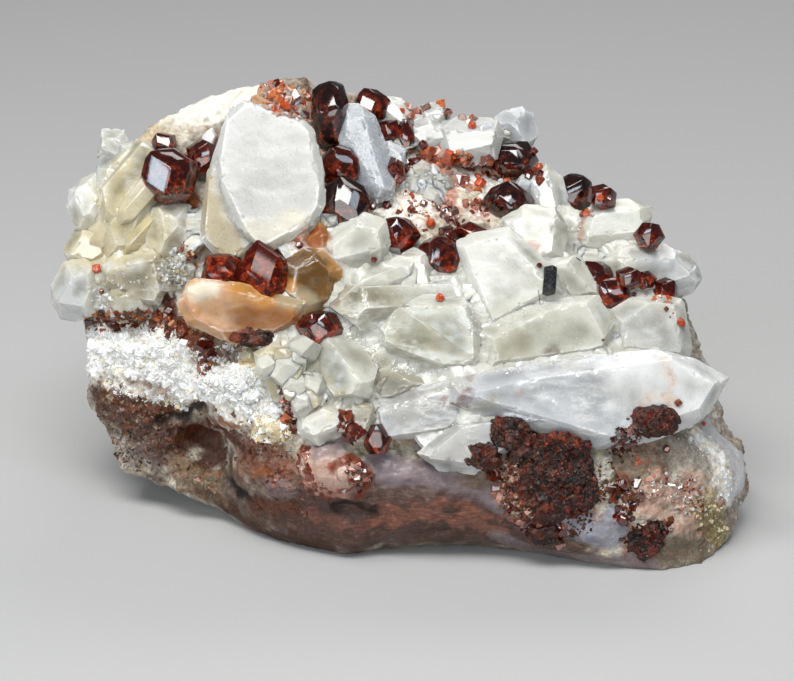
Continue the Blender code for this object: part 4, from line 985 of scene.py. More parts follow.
def rim_points(piece: bpy.types.Object, sharp: float, gap: float) -> KDTree:
    """Points along a piece's sharp edges, to measure nearness to them.

    Args:
        piece: the piece, before its fine mesh is made.
        sharp: the least angle between faces that counts, in degrees.
        gap: the distance between points along an edge.

    Returns:
        A search tree of the points.
    """
    places: list[Vector] = []
    shape = bmesh.new()
    shape.from_mesh(piece.data)
    for edge in shape.edges:
        if edge.calc_face_angle(0) > math.radians(sharp):
            first, last = edge.verts[0].co, edge.verts[1].co
            count = max(1, round((last - first).length / gap))
            places += [first.lerp(last, i / count) for i in range(count + 1)]
    shape.free()
    tree = KDTree(max(1, len(places)))
    for i, place in enumerate(places):
        tree.insert(place, i)
    tree.balance()
    return tree


def facet_tones(piece: bpy.types.Object) -> tuple[BVHTree, np.ndarray]:
    """A search tree over a piece's faces, and a tone from 0 to 1 for each of them."""
    points = [vert.co.copy() for vert in piece.data.vertices]
    tree = BVHTree.FromPolygons(points, [list(face.vertices) for face in piece.data.polygons])
    tones = [noise.cell(face.normal * 9.7 + face.center * 310) for face in piece.data.polygons]
    return tree, np.array(tones) % 1.0


@dataclass
class Quartz:
    """The milky quartz crystals, each from its solid."""

    cell: float = 0.2 * MM
    swell: float = 0.42 * MM
    rim: float = 1.6 * MM
    chip: float = 0.3 * MM
    wave: float = 0.03 * MM

    def dress(self, node: str, painter: Painter, finish: QuartzFinish) -> bpy.types.Object:
        """Builds one quartz piece.

        Args:
            node: the CAD node that it stands for.
            painter: lays its colours.
            finish: its colour and clarity.

        Returns:
            The finished piece.
        """
        piece = copy_of(node, node + "_crystal")
        apply(piece, "DISPLACE", strength=self.swell, mid_level=0.0)
        rims = rim_points(piece, 14, 0.2 * MM)
        tree, tones = facet_tones(piece)
        depth = math.ceil(math.log2(max(piece.dimensions) / 0.9 / self.cell))
        apply(piece, "REMESH", mode="SHARP", octree_depth=depth, scale=0.9, use_remove_disconnected=False)
        points, normals = points_of(piece)
        away = np.array([rims.find(p)[2] for p in points])
        edges = np.clip(1 - away / self.rim, 0, 1)
        facets = tones[[tree.find_nearest(Vector(p))[2] for p in points]]
        chips = np.clip(fractal(points, 1.1 * MM, 3) - 0.12, 0, 0.5) * 2
        push = self.wave * fractal(points, 2.4 * MM, 2) - self.chip * chips * np.clip(edges * 4 - 3, 0, 1)
        points += normals * push[:, None]
        move_points(piece, points)
        painter.paint(piece, "quartz", finish.tint, edges, facets)
        choose(piece)
        bpy.ops.object.shade_smooth_by_angle(angle=math.radians(28))
        finish_piece(piece, finish.material(), node)
        return piece


@dataclass
class Bond:
    """The grown-together quartz that fills the valleys between the crystals."""

    voxel: float = 0.45 * MM
    reach: float = 1.8 * MM
    under: float = 0.6 * MM
    relief: float = 0.3 * MM

    def build(self) -> bpy.types.Object:
        """Closes the valleys: the crystals are joined, grown and shrunk again."""
        parts = [copy_of(node, "part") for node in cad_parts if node.startswith("quartz")]
        choose(parts[0])
        for part in parts:
            part.select_set(True)
        bpy.ops.object.join()
        piece = bpy.context.object
        piece.name = "quartz_bond"
        apply(piece, "REMESH", mode="VOXEL", voxel_size=self.voxel)
        apply(piece, "DISPLACE", strength=self.reach, mid_level=0.0)
        apply(piece, "REMESH", mode="VOXEL", voxel_size=self.voxel)
        apply(piece, "SMOOTH", factor=0.5, iterations=4)
        apply(piece, "DISPLACE", strength=0.42 * MM - self.under - self.reach, mid_level=0.0)
        return piece

    def dress(self, painter: Painter, material: bpy.types.Material) -> bpy.types.Object:
        """Builds, breaks and paints the grown-together quartz."""
        piece = self.build()
        points, normals = points_of(piece)
        broken = steps(points, 1.3 * MM) * 0.6 + fractal(points, 1.0 * MM, 3) * 0.7
        points += normals * (self.relief * broken)[:, None]
        points[:, 2] = np.maximum(points[:, 2], 0)
        move_points(piece, points)
        count = len(points)
        painter.paint(piece, "bond", Tint.RIME, np.full(count, 0.6), np.full(count, 0.5))
        choose(piece)
        bpy.ops.object.shade_smooth_by_angle(angle=math.radians(22))
        finish_piece(piece, material)
        return piece


@dataclass
class Garnets:
    """The larger garnets, each from its solid, with worn edges."""

    swell: float = 0.25 * MM
    edge: float = 0.06 * MM

    def dress(self, node: str, material: bpy.types.Material, slot: str) -> bpy.types.Object:
        """Builds one garnet or schorl piece with a material; its slot is not used."""
        piece = copy_of(node, node + "_stone")
        apply(piece, "DISPLACE", strength=self.swell, mid_level=0.0)
        apply(piece, "BEVEL", width=self.edge, segments=2, limit_method="ANGLE")
        heights = points_of(piece)[0][:, 2]
        # painted glow: the lower a point sits on its garnet, the stronger its orange-red glow
        glow = np.clip((heights.max() - heights) / max(np.ptp(heights), MM) * 1.3 + 0.05, 0, 1)
        signs = piece.data.color_attributes.new("marks", "FLOAT_COLOR", "POINT")
        signs.data.foreach_set("color", np.repeat(glow, 4))
        choose(piece)
        bpy.ops.object.shade_smooth_by_angle(angle=math.radians(25))
        finish_piece(piece, material, node)
        return piece


@dataclass
class Crusts:
    """Broken masses of garnet that sink into the block at their ragged rims."""

    host: Ground
    voxel: float = 0.2 * MM
    swell: float = 0.3 * MM
    relief: float = 0.32 * MM
    edge: float = 0.9 * MM

    def dress(self, node: str, painter: Painter, material: bpy.types.Material) -> bpy.types.Object:
        """Builds one broken mass from its solid."""
        piece = copy_of(node, node + "_crust")
        apply(piece, "DISPLACE", strength=self.swell, mid_level=0.0)
        apply(piece, "REMESH", mode="VOXEL", voxel_size=self.voxel)
        points, normals = points_of(piece)
        height = np.array([min(tree.find_nearest(Vector(p))[3] for _, tree in self.host.trees) for p in points])
        away = height / self.edge
        broken = steps(points, 1.2 * MM) * 0.7 + fractal(points, 1.6 * MM, 4) * 0.7
        broad = fractal(points, 3.4 * MM, 4) * 1.1 + fractal(points, 1.3 * MM, 3) * 0.5
        rim = np.clip(1.1 - away + broad * 1.3, 0, 1.8)
        points += normals * (self.relief * (broken - 0.4))[:, None]
        points += np.array(VIEW.inward) * (0.6 * height + rim * 0.9 * MM)[:, None]
        move_points(piece, points)
        patch = np.clip(fractal(points, 1.2 * MM, 4) * 1.6 + 0.45, 0, 1)[:, None]
        fade = np.clip(rim * 1.6 - 0.6, 0, 0.8)[:, None]
        tint = np.array(Tint.PITCH.value) * (1 - patch) + np.array(Tint.RUST.value) * 0.4 * patch
        tint += (np.array(Tint.ROSE.value) - tint) * fade
        painter.paint(piece, "crust", tint)
        choose(piece)
        bpy.ops.object.shade_smooth_by_angle(angle=math.radians(40))
        finish_piece(piece, material, node)
        return piece


class Seeds:
    """The small shapes that are modelled once and laid many times."""

    def __init__(self) -> None:
        """Models each small shape, about one metre across, round the origin."""
        self.chance = random.Random(7)
        self.garnet = self.dodecahedron()
        self.crumbs = [self.crumb(i) for i in range(5)]
        self.points = [self.crystal(i) for i in range(4)]
        self.needle = self.prism()

    def start(self, name: str) -> bpy.types.Object:
        """Names a new primitive and opens it for editing, all selected."""
        seed = bpy.context.object
        seed.name = name
        choose(seed)
        bpy.ops.object.mode_set(mode="EDIT")
        bpy.ops.mesh.select_all(action="SELECT")
        return seed

    def done(self, seed: bpy.types.Object) -> bpy.types.Object:
        """Closes a small shape, with its origin at z = 0."""
        bpy.ops.mesh.select_all(action="SELECT")
        bpy.ops.mesh.normals_make_consistent(inside=False)
        bpy.ops.object.mode_set(mode="OBJECT")
        bpy.ops.object.transform_apply(location=True, rotation=True, scale=True)
        return seed

    def dodecahedron(self) -> bpy.types.Object:
        """A garnet's rhombic dodecahedron with its edges cut."""
        bpy.ops.mesh.primitive_cube_add(size=0.5)
        seed = self.start("garnet_seed")
        bpy.ops.mesh.poke(offset=0.25)
        bpy.ops.mesh.select_all(action="SELECT")
        bpy.ops.mesh.dissolve_limited(angle_limit=math.radians(2))
        bpy.ops.mesh.select_all(action="SELECT")
        bpy.ops.mesh.bevel(offset=0.05, offset_type="OFFSET", segments=1, affect="EDGES")
        return self.done(seed)

    def crumb(self, number: int) -> bpy.types.Object:
        """An angular crumb, cut from a cube by a few planes."""
        bpy.ops.mesh.primitive_cube_add(size=0.9)
        seed = self.start(f"crumb_seed_{number}")
        for _ in range(4):
            way = Vector([self.chance.uniform(-1, 1) for _ in range(3)]).normalized()
            bpy.ops.mesh.select_all(action="SELECT")
            bpy.ops.mesh.bisect(
                plane_co=way * self.chance.uniform(0.28, 0.42), plane_no=way,
                clear_outer=True, use_fill=True,
            )
        return self.done(seed)

    def crystal(self, number: int) -> bpy.types.Object:
        """A quartz crystal from z = 0 to about 1, with an uneven six-sided point."""
        bpy.ops.mesh.primitive_cylinder_add(vertices=6, radius=0.5, depth=1.4, location=(0, 0, 0.7))
        seed = self.start(f"crystal_seed_{number}")
        for i in range(6):
            turn = math.radians(60 * i + 30)
            side = Vector((math.cos(turn), math.sin(turn), 0))
            place = side * 0.433 + Vector((0, 0, self.chance.uniform(0.5, 0.78)))
            bpy.ops.mesh.select_all(action="SELECT")
            bpy.ops.mesh.bisect(
                plane_co=place, plane_no=(side * 0.5 + Vector((0, 0, 0.6))).normalized(),
                clear_outer=True, use_fill=True,
            )
        bpy.ops.mesh.select_all(action="SELECT")
        bpy.ops.mesh.bevel(offset=0.02, offset_type="OFFSET", segments=1, affect="EDGES")
        return self.done(seed)

    def prism(self) -> bpy.types.Object:
        """A thin black prism with nine sides and a slanted end."""
        bpy.ops.mesh.primitive_cylinder_add(vertices=9, radius=0.1, depth=1.0)
        seed = self.start("needle_seed")
        bpy.ops.mesh.bisect(
            plane_co=(0, 0, 0.42), plane_no=(0.3, 0.1, 0.95), clear_outer=True, use_fill=True
        )
        return self.done(seed)

    def clear(self) -> None:
        """Takes the small shapes away again."""
        for seed in (self.garnet, *self.crumbs, *self.points, self.needle):
            bpy.data.objects.remove(seed)


ANY = ("matrix", "quartz")


@dataclass(frozen=True)
class Bed:
    """Small crystals or crumbs strewn along a path of the picture.

    Radius is in picture points. Sizes run from the first to the second, in metres.
    """

    path: tuple[tuple[float, float], ...]
    radius: float
    count: int
    sizes: tuple[float, float]
    tints: tuple[Tint, ...]
    on: tuple[str, ...] = ("matrix",)
    flat: float = 1.0
    sunk: float = 0.15


@dataclass(frozen=True)
class Single:
    """One small crystal at a point of the picture, its width in picture points."""

    column: float
    row: float
    width: float
    tint: Tint
    tall: float = 1.0
    turn: float = 0.0


@dataclass(frozen=True)
class Growth:
    """One longer quartz crystal from its base to its tip in the picture, its width in picture points."""

    base: tuple[float, float]
    tip: tuple[float, float]
    width: float
    tint: Tint = Tint.MILK
    sunk: float = 0.1
    kind: int = 0
    root: float = 0.6


class Strewing:
    """Lays copies of the small shapes on the specimen and joins them."""

    def __init__(self, ground: Ground, chance: random.Random) -> None:
        """Starts with nothing laid."""
        self.ground = ground
        self.chance = chance
        self.start()

    def start(self) -> None:
        """Clears what is laid."""
        self.count = 0
        self.points: list[np.ndarray] = []
        self.faces: list[list[int]] = []
        self.tints: list[np.ndarray] = []

    def lay(self, seed: bpy.types.Object, hit: Hit, size: Vector, tint: tuple[float, float, float],
            sunk: float, tilt: float, turn: float) -> None:
        """Lays one copy of a small shape.

        Args:
            seed: the small shape.
            hit: where it grows.
            size: its size along its own axes.
            tint: its colour.
            sunk: the share of its height that is in the ground.
            tilt: how far it may lean, in radians.
            turn: how far it is turned about its axis, in radians.
        """
        lean = Vector([self.chance.uniform(-1, 1) for _ in range(3)]) * math.tan(tilt)
        axis = (hit.normal + lean).normalized()
        base = axis.to_track_quat("Z", "Y").to_matrix() @ Matrix.Rotation(turn, 3, "Z")
        place = hit.place - hit.normal * (size.z * sunk)
        shade = self.chance.uniform(0.82, 1.12)
        points, _ = points_of(seed)
        placed = points * np.array(size) @ np.array(base).T + np.array(place)
        placed[:, 2] = np.maximum(placed[:, 2], 0)
        self.points.append(placed)
        faces = [list(face.vertices) for face in seed.data.polygons]
        self.faces += [[self.count + i for i in face] for face in faces]
        self.count += len(points)
        self.tints.append(np.tile(np.array([*(part * shade for part in tint), 1.0]), len(points)))

    def strew(self, seeds: list[bpy.types.Object], bed: Bed) -> None:
        """Strews a bed with copies of small shapes."""
        for _ in range(bed.count):
            run = self.chance.random() * (len(bed.path) - 1)
            start = bed.path[int(run)]
            end = bed.path[min(int(run) + 1, len(bed.path) - 1)]
            along = run - int(run)
            spread = bed.radius * math.sqrt(self.chance.random())
            angle = self.chance.uniform(0, math.tau)
            column = start[0] + (end[0] - start[0]) * along + spread * math.cos(angle)
            row = start[1] + (end[1] - start[1]) * along + spread * math.sin(angle)
            hit = self.ground.meet(column, row)
            low, high = bed.sizes
            size = low + (high - low) * self.chance.random() ** 1.6
            tint = self.chance.choice(bed.tints).value
            if hit and hit.name.startswith(bed.on):
                shape = Vector([size * self.chance.uniform(0.75, 1.2) for _ in range(3)])
                shape.z *= bed.flat
                turn = self.chance.uniform(0, math.tau)
                self.lay(self.chance.choice(seeds), hit, shape, tint, bed.sunk, 0.6, turn)

    def put(self, seeds: list[bpy.types.Object], single: Single, sunk: float, tilt: float) -> None:
        """Puts one small crystal at its own place."""
        hit = self.ground.meet(single.column, single.row)
        if hit:
            width = single.width * VIEW.point_size
            size = Vector((width, width, width * single.tall))
            self.lay(self.chance.choice(seeds), hit, size, single.tint.value, sunk, tilt, single.turn)

    def grow(self, seeds: list[bpy.types.Object], growth: Growth) -> None:
        """Lays one longer crystal along its line."""
        low = self.ground.meet(*growth.base)
        high = self.ground.meet(*growth.tip)
        if not low or not high:
            return
        width = growth.width * VIEW.point_size
        run = high.place - low.place + VIEW.inward * width * (growth.sunk - growth.root)
        start = low.place + VIEW.inward * width * growth.root
        size = Vector((width, width * 0.85, run.length * 1.1))
        self.lay(seeds[growth.kind], Hit(start, run.normalized(), ""), size, growth.tint.value, 0.0, 0.0,
                 growth.kind)

    def join(self, name: str) -> bpy.types.Object:
        """Makes what is laid one piece, and starts anew."""
        data = bpy.data.meshes.new(name)
        data.from_pydata(np.concatenate(self.points).tolist(), [], self.faces)
        tints = data.color_attributes.new("tint", "FLOAT_COLOR", "POINT")
        tints.data.foreach_set("color", np.concatenate(self.tints))
        signs = data.color_attributes.new("marks", "FLOAT_COLOR", "POINT")
        signs.data.foreach_set("color", np.tile(np.array([0.0, 0.6, 0.6, 0.3]), self.count))
        piece = bpy.data.objects.new(name, data)
        bpy.context.scene.collection.objects.link(piece)
        self.start()
        return piece


HOT = (Tint.ORANGE, Tint.FLAME, Tint.RUST, Tint.SALMON, Tint.DUSTY)
DEEP = (Tint.BLOOD, Tint.RUST, Tint.BROWN)
RUSTED = (Tint.BROWN, Tint.SHADOW, Tint.EARTH)
MASS = (Tint.PITCH, Tint.SHADOW, Tint.BROWN, Tint.UMBER, Tint.BLOOD)
GARNET_BEDS: tuple[Bed, ...] = (
    Bed(((426, 164), (440, 158)), 12, 48, (0.8 * MM, 2.4 * MM), HOT, ANY),
    Bed(((455, 158), (468, 163)), 8, 18, (0.8 * MM, 2.0 * MM), HOT, ANY),
    Bed(((446, 180), (456, 188), (476, 180)), 9, 26, (0.6 * MM, 2.0 * MM), HOT, ANY),
    Bed(((438, 205), (456, 218)), 9, 44, (0.4 * MM, 1.3 * MM), (Tint.SALMON, Tint.MAUVE, Tint.BLOOD), ANY),
    Bed(((470, 200), (484, 216)), 9, 30, (0.4 * MM, 1.2 * MM), (Tint.SALMON, Tint.RUST), ANY),
    Bed(((405, 172), (415, 162)), 8, 26, (0.6 * MM, 1.6 * MM), DEEP, ANY),
    Bed(((400, 198), (425, 215)), 18, 26, (0.3 * MM, 0.8 * MM), HOT, ANY),
    Bed(((405, 112), (424, 108)), 7, 24, (0.7 * MM, 1.5 * MM), (Tint.SALMON, Tint.ORANGE, Tint.RUST), ANY),
    Bed(((440, 100), (456, 112), (474, 116)), 7, 36, (0.7 * MM, 1.7 * MM), HOT, ANY),
    Bed(((484, 165), (495, 172), (520, 178)), 8, 50, (0.6 * MM, 1.6 * MM), HOT + DEEP, ANY),
    Bed(((529, 160), (536, 178)), 7, 30, (0.6 * MM, 1.6 * MM), DEEP, ANY),
    Bed(((265, 90), (285, 100), (303, 108)), 15, 190, (0.6 * MM, 1.9 * MM), HOT + (Tint.PEACH, Tint.DUSTY,
        Tint.BLOOD), ANY, sunk=0.3),
    Bed(((90, 322), (130, 320), (160, 318), (182, 332)), 8, 50, (0.4 * MM, 1.6 * MM), DEEP, ANY),
    Bed(((205, 340), (206, 350), (206, 368)), 8, 26, (0.5 * MM, 1.4 * MM), DEEP, ANY),
    Bed(((278, 362), (288, 400), (288, 425)), 7, 80, (0.3 * MM, 1.3 * MM), HOT + DEEP, ANY),
    Bed(((345, 420), (352, 434)), 8, 50, (0.6 * MM, 1.6 * MM), DEEP, ANY),
    Bed(((305, 448), (304, 478), (325, 490)), 6, 50, (0.3 * MM, 1.1 * MM), (Tint.RUST, Tint.SALMON)),
    Bed(((345, 466), (365, 474), (352, 490)), 9, 70, (0.3 * MM, 1.0 * MM), DEEP + (Tint.SALMON,)),
    Bed(((500, 470), (508, 500), (530, 525), (560, 535)), 13, 240, (0.3 * MM, 1.4 * MM), DEEP + (
        Tint.SALMON,)),
    Bed(((620, 446), (632, 432), (665, 412)), 10, 90, (0.4 * MM, 1.2 * MM), DEEP + RUSTED, ANY),
    Bed(((600, 490), (635, 490), (622, 520)), 10, 120, (0.3 * MM, 1.2 * MM), DEEP + RUSTED),
    Bed(((655, 485), (690, 490), (690, 508)), 16, 240, (0.2 * MM, 0.8 * MM), (Tint.RUST, Tint.SALMON,
        Tint.DUSTY, Tint.MILK), sunk=0.35),
    Bed(((632, 540), (665, 528)), 12, 110, (0.4 * MM, 1.2 * MM), RUSTED),
    Bed(((578, 212), (590, 214)), 6, 16, (0.3 * MM, 1.0 * MM), HOT, ANY),
    Bed(((630, 290), (668, 300), (672, 312)), 6, 14, (0.3 * MM, 0.9 * MM), HOT, ANY),
    Bed(((184, 250), (196, 262)), 8, 30, (0.3 * MM, 0.9 * MM), (Tint.RUST, Tint.PEACH), ANY),
)
SCREE_BEDS: tuple[Bed, ...] = (
    Bed(((525, 450), (575, 450), (575, 500), (530, 500)), 30, 1100, (0.3 * MM, 1.0 * MM), MASS, ("garnet",),
        sunk=0.4),
    Bed(((525, 441), (560, 437), (592, 446)), 6, 160, (0.3 * MM, 0.9 * MM), (Tint.RUST, Tint.BLOOD), ("garnet",),
        sunk=0.4),
    Bed(((510, 470), (506, 500), (528, 524)), 11, 420, (0.3 * MM, 0.9 * MM), (Tint.STREAK, Tint.RUST,
        Tint.CLAY, Tint.DUSTY), ANY + ("garnet",), sunk=0.4),
    Bed(((495, 430), (492, 424)), 12, 200, (0.3 * MM, 0.9 * MM), MASS, ("garnet",), sunk=0.4),
    Bed(((482, 460), (476, 452)), 12, 140, (0.3 * MM, 0.9 * MM), MASS, ("garnet",), sunk=0.4),
    Bed(((645, 424), (668, 418)), 13, 260, (0.3 * MM, 0.9 * MM), MASS, ("garnet",), sunk=0.4),
    Bed(((640, 542), (665, 530)), 13, 260, (0.3 * MM, 0.9 * MM), MASS, ("garnet",), sunk=0.4),
    Bed(((620, 446), (632, 432), (600, 490), (635, 490)), 14, 260, (0.2 * MM, 0.8 * MM), RUSTED, ANY, sunk=0.4),
    Bed(((540, 530), (560, 532), (590, 522)), 10, 160, (0.2 * MM, 0.8 * MM), RUSTED, ANY, sunk=0.4),
)
CHALK = (Tint.CHALK, Tint.WHITE, Tint.WHITE, Tint.MILK)
SLOPE = (Tint.UMBER, Tint.MAUVE, Tint.CLAY, Tint.EARTH, Tint.SHADOW)
RUSTY = (Tint.RUST, Tint.EARTH, Tint.BROWN, Tint.HONEY, Tint.UMBER)
FIELD = (Tint.CHALK, Tint.WHITE, Tint.CREAM)
CRUMB_BEDS: tuple[Bed, ...] = (
    Bed(((100, 410), (130, 430), (160, 450)), 34, 1100, (0.2 * MM, 0.7 * MM), SLOPE, sunk=0.4),
    Bed(((180, 480), (215, 480)), 16, 120, (0.3 * MM, 1.0 * MM), (Tint.CLAY, Tint.ASH, Tint.STREAK), sunk=0.45),
    Bed(((256, 430), (285, 432)), 12, 90, (0.3 * MM, 1.0 * MM), (Tint.CREAM, Tint.WHITE), sunk=0.4),
    Bed(((262, 350), (285, 370), (305, 395)), 22, 160, (0.3 * MM, 1.2 * MM), (Tint.SAND, Tint.WHITE,
        Tint.PEACH)),
    Bed(((222, 358), (240, 348)), 12, 140, (0.2 * MM, 0.7 * MM), (Tint.GREY, Tint.WHITE, Tint.CLAY)),
    Bed(((96, 302), (110, 300)), 8, 50, (0.2 * MM, 0.8 * MM), (Tint.GREY, Tint.WHITE), ANY, sunk=0.4),
    Bed(((90, 322), (130, 320), (160, 318), (182, 332)), 9, 420, (0.3 * MM, 1.2 * MM), RUSTY, ANY, sunk=0.4),
    Bed(((180, 334), (205, 345), (206, 368)), 9, 220, (0.3 * MM, 1.2 * MM), RUSTY, ANY, sunk=0.4),
    Bed(((400, 195), (430, 185)), 18, 140, (0.2 * MM, 0.8 * MM), FIELD, sunk=0.4),
    Bed(((470, 205), (488, 190), (500, 180)), 14, 160, (0.2 * MM, 0.8 * MM), FIELD, sunk=0.4),
    Bed(((700, 440), (720, 470), (732, 500)), 12, 260, (0.15 * MM, 0.6 * MM), (Tint.WHITE, Tint.BLUISH),
        sunk=0.4),
    Bed(((700, 500), (712, 515), (715, 545)), 15, 220, (0.2 * MM, 0.7 * MM), (Tint.MOSS, Tint.SAND,
        Tint.ASH), sunk=0.4),
    Bed(((210, 430), (260, 455), (300, 500)), 26, 300, (0.2 * MM, 0.8 * MM), (Tint.UMBER, Tint.ROSE,
        Tint.BROWN), sunk=0.4),
    Bed(((600, 455), (604, 486)), 9, 60, (0.4 * MM, 1.2 * MM), (Tint.OLIVE, Tint.GREY), ANY, sunk=0.3),
    Bed(((655, 485), (690, 490), (690, 508)), 18, 420, (0.15 * MM, 0.6 * MM), (Tint.DUSTY, Tint.PEARL,
        Tint.SALMON, Tint.DUSTY), sunk=0.5),
    Bed(((294, 92), (300, 104), (306, 118)), 6, 60, (0.5 * MM, 1.2 * MM), (Tint.SLATE, Tint.GREY), ANY,
        sunk=0.3),
    Bed(((660, 440), (700, 455)), 14, 80, (0.2 * MM, 0.6 * MM), (Tint.GREY, Tint.GREENISH, Tint.ASH),
        sunk=0.5),
)
CHALK_BEDS: tuple[Bed, ...] = (
    Bed(((95, 352), (150, 350), (188, 376)), 28, 1900, (0.3 * MM, 1.1 * MM), CHALK, sunk=0.45),
    Bed(((212, 382), (245, 386), (268, 402)), 22, 1500, (0.3 * MM, 1.1 * MM), CHALK, sunk=0.45),
    Bed(((105, 384), (150, 396), (185, 404)), 8, 260, (0.2 * MM, 0.8 * MM), CHALK + (Tint.SAND,), sunk=0.45),
)
SMALL_GARNETS: tuple[Single, ...] = (
    Single(440, 299, 11, Tint.ORANGE), Single(391, 283, 10, Tint.ORANGE), Single(374, 259, 8, Tint.RUST),
    Single(98, 270, 13, Tint.ORANGE), Single(102, 291, 7, Tint.RUST), Single(387, 207, 13, Tint.BLOOD),
    Single(423, 205, 10, Tint.RUST), Single(411, 210, 10, Tint.RUST), Single(430, 224, 13, Tint.ORANGE),
    Single(479, 184, 15, Tint.ORANGE), Single(472, 127, 11, Tint.ORANGE), Single(473, 108, 10, Tint.RUST),
    Single(434, 97, 13, Tint.ORANGE), Single(452, 107, 12, Tint.SALMON), Single(540, 168, 10, Tint.ORANGE),
    Single(533, 152, 10, Tint.BLOOD), Single(530, 178, 11, Tint.BLOOD), Single(422, 145, 12, Tint.BLOOD),
    Single(416, 163, 13, Tint.BLOOD), Single(394, 170, 12, Tint.BLOOD), Single(449, 236, 13, Tint.BLOOD),
    Single(306, 356, 8, Tint.BLOOD), Single(312, 384, 10, Tint.RUST), Single(324, 399, 10, Tint.BROWN),
    Single(372, 207, 8, Tint.BLOOD), Single(600, 198, 10, Tint.ORANGE), Single(609, 200, 12, Tint.BLOOD),
    Single(634, 295, 6, Tint.RUST), Single(666, 309, 6, Tint.RUST), Single(680, 322, 14, Tint.ORANGE, 0.4),
    Single(678, 403, 9, Tint.RUST), Single(666, 449, 10, Tint.RUST), Single(622, 483, 12, Tint.BLOOD),
    Single(622, 519, 15, Tint.BLOOD), Single(703, 424, 6, Tint.ORANGE), Single(287, 107, 14, Tint.ORANGE),
    Single(539, 266, 7, Tint.BLOOD), Single(183, 332, 14, Tint.RUST), Single(170, 311, 12, Tint.BROWN),
    Single(184, 103, 8, Tint.BLOOD, 0.5), Single(313, 320, 12, Tint.BLOOD), Single(300, 246, 10, Tint.BLOOD),
    Single(346, 420, 14, Tint.RUST), Single(352, 434, 12, Tint.BLOOD), Single(603, 340, 4, Tint.RUST),
)
NEEDLES: tuple[Single, ...] = (
    Single(538, 296, 3, Tint.SHADOW, 6.0), Single(374, 411, 4, Tint.SHADOW, 4.0),
    Single(289, 448, 5, Tint.SHADOW, 4.0), Single(447, 120, 8, Tint.SHADOW, 2.0),
    Single(448, 159, 7, Tint.SHADOW, 1.6), Single(578, 260, 5, Tint.SHADOW, 1.4),
    Single(481, 345, 3, Tint.SHADOW, 1.2), Single(376, 399, 3, Tint.SHADOW, 1.4),
)
MILKY = (Tint.WHITE, Tint.MILK, Tint.MILK)
SHARD_BEDS: tuple[Bed, ...] = (
    Bed(((180, 258), (168, 272), (180, 280)), 11, 90, (0.5 * MM, 1.3 * MM), (Tint.MILK, Tint.STRAW), ANY,
        sunk=0.5),
    Bed(((400, 110), (440, 108), (480, 122)), 12, 40, (1.4 * MM, 3.0 * MM), MILKY, sunk=0.5),
    Bed(((440, 130), (470, 140), (490, 138)), 10, 40, (2.0 * MM, 4.0 * MM), MILKY, sunk=0.5),
    Bed(((400, 182), (425, 180), (440, 195)), 12, 40, (1.4 * MM, 3.2 * MM), MILKY, sunk=0.5),
    Bed(((262, 352), (292, 370), (306, 400)), 19, 18, (2.6 * MM, 4.4 * MM), (Tint.CREAM, Tint.MILK,
        Tint.MILK), ANY, sunk=0.45),
    Bed(((300, 425), (330, 425), (310, 440)), 10, 26, (1.4 * MM, 2.8 * MM), (Tint.BLUISH, Tint.WHITE),
        sunk=0.5),
)
GRIT_BEDS: tuple[Bed, ...] = (
    Bed(((440, 392), (480, 376), (560, 362), (640, 353)), 3, 90, (0.2 * MM, 0.6 * MM), MILKY, ANY, sunk=0.4),
    Bed(((470, 340), (474, 310), (500, 328), (540, 306), (590, 300)), 3, 70, (0.2 * MM, 0.5 * MM), MILKY,
        ANY, sunk=0.4),
    Bed(((378, 362), (410, 372), (450, 370)), 4, 100, (0.2 * MM, 0.6 * MM), MILKY, ANY, sunk=0.4),
    Bed(((330, 325), (360, 340), (376, 352)), 5, 60, (0.2 * MM, 0.7 * MM), MILKY, ANY, sunk=0.4),
    Bed(((180, 262), (172, 272), (182, 276)), 11, 110, (0.2 * MM, 0.7 * MM), (Tint.PEARL, Tint.STRAW), ANY,
        sunk=0.4),
    Bed(((96, 290), (112, 280), (165, 285)), 8, 70, (0.2 * MM, 0.6 * MM), (Tint.PEARL, Tint.STRAW), ANY,
        sunk=0.4),
)
GROWTHS: tuple[Growth, ...] = (
    Growth((150, 184), (112, 230), 30, Tint.CREAM, 0.25),
    Growth((160, 212), (122, 256), 34, Tint.YELLOW, 0.25, 1),
    Growth((134, 160), (104, 206), 26, Tint.CREAM, 0.3, 2),
    Growth((180, 205), (164, 254), 28, Tint.GREENISH, 0.25, 3),
    Growth((118, 214), (92, 254), 22, Tint.CREAM, 0.3, 2),
    Growth((176, 250), (140, 266), 22, Tint.OLIVE, 0.3, 0),
    Growth((152, 312), (148, 262), 30, Tint.GREENISH, 0.3, 1),
    Growth((124, 318), (116, 272), 30, Tint.OLIVE, 0.3, 3),
    Growth((178, 296), (164, 258), 24, Tint.GREENISH, 0.25, 2),
    Growth((104, 312), (96, 280), 22, Tint.GREY, 0.3, 1),
    Growth((204, 150), (213, 126), 14, Tint.WHITE, 0.1, 0),
    Growth((430, 268), (356, 292), 24, Tint.MILK, 0.0, 2),
    Growth((404, 296), (412, 250), 24, Tint.MILK, 0.15, 3),
    Growth((304, 412), (284, 362), 26, Tint.SAND, 0.25, 1),
    Growth((328, 402), (306, 354), 28, Tint.GREENISH, 0.25, 2),
    Growth((282, 398), (266, 356), 24, Tint.CREAM, 0.3, 3),
    Growth((264, 384), (254, 350), 20, Tint.SAND, 0.3, 0),
    Growth((610, 340), (660, 296), 28, Tint.BLUISH, 0.25, 0),
    Growth((506, 212), (536, 172), 22, Tint.FROST, 0.35, 1),
    Growth((464, 160), (492, 126), 30, Tint.BLUISH, 0.15, 2),
    Growth((455, 160), (448, 124), 28, Tint.WHITE, 0.15, 3),
    Growth((436, 136), (434, 102), 22, Tint.GREY, 0.1, 1),
    Growth((350, 404), (396, 374), 22, Tint.OLIVE, 0.3, 1),
)


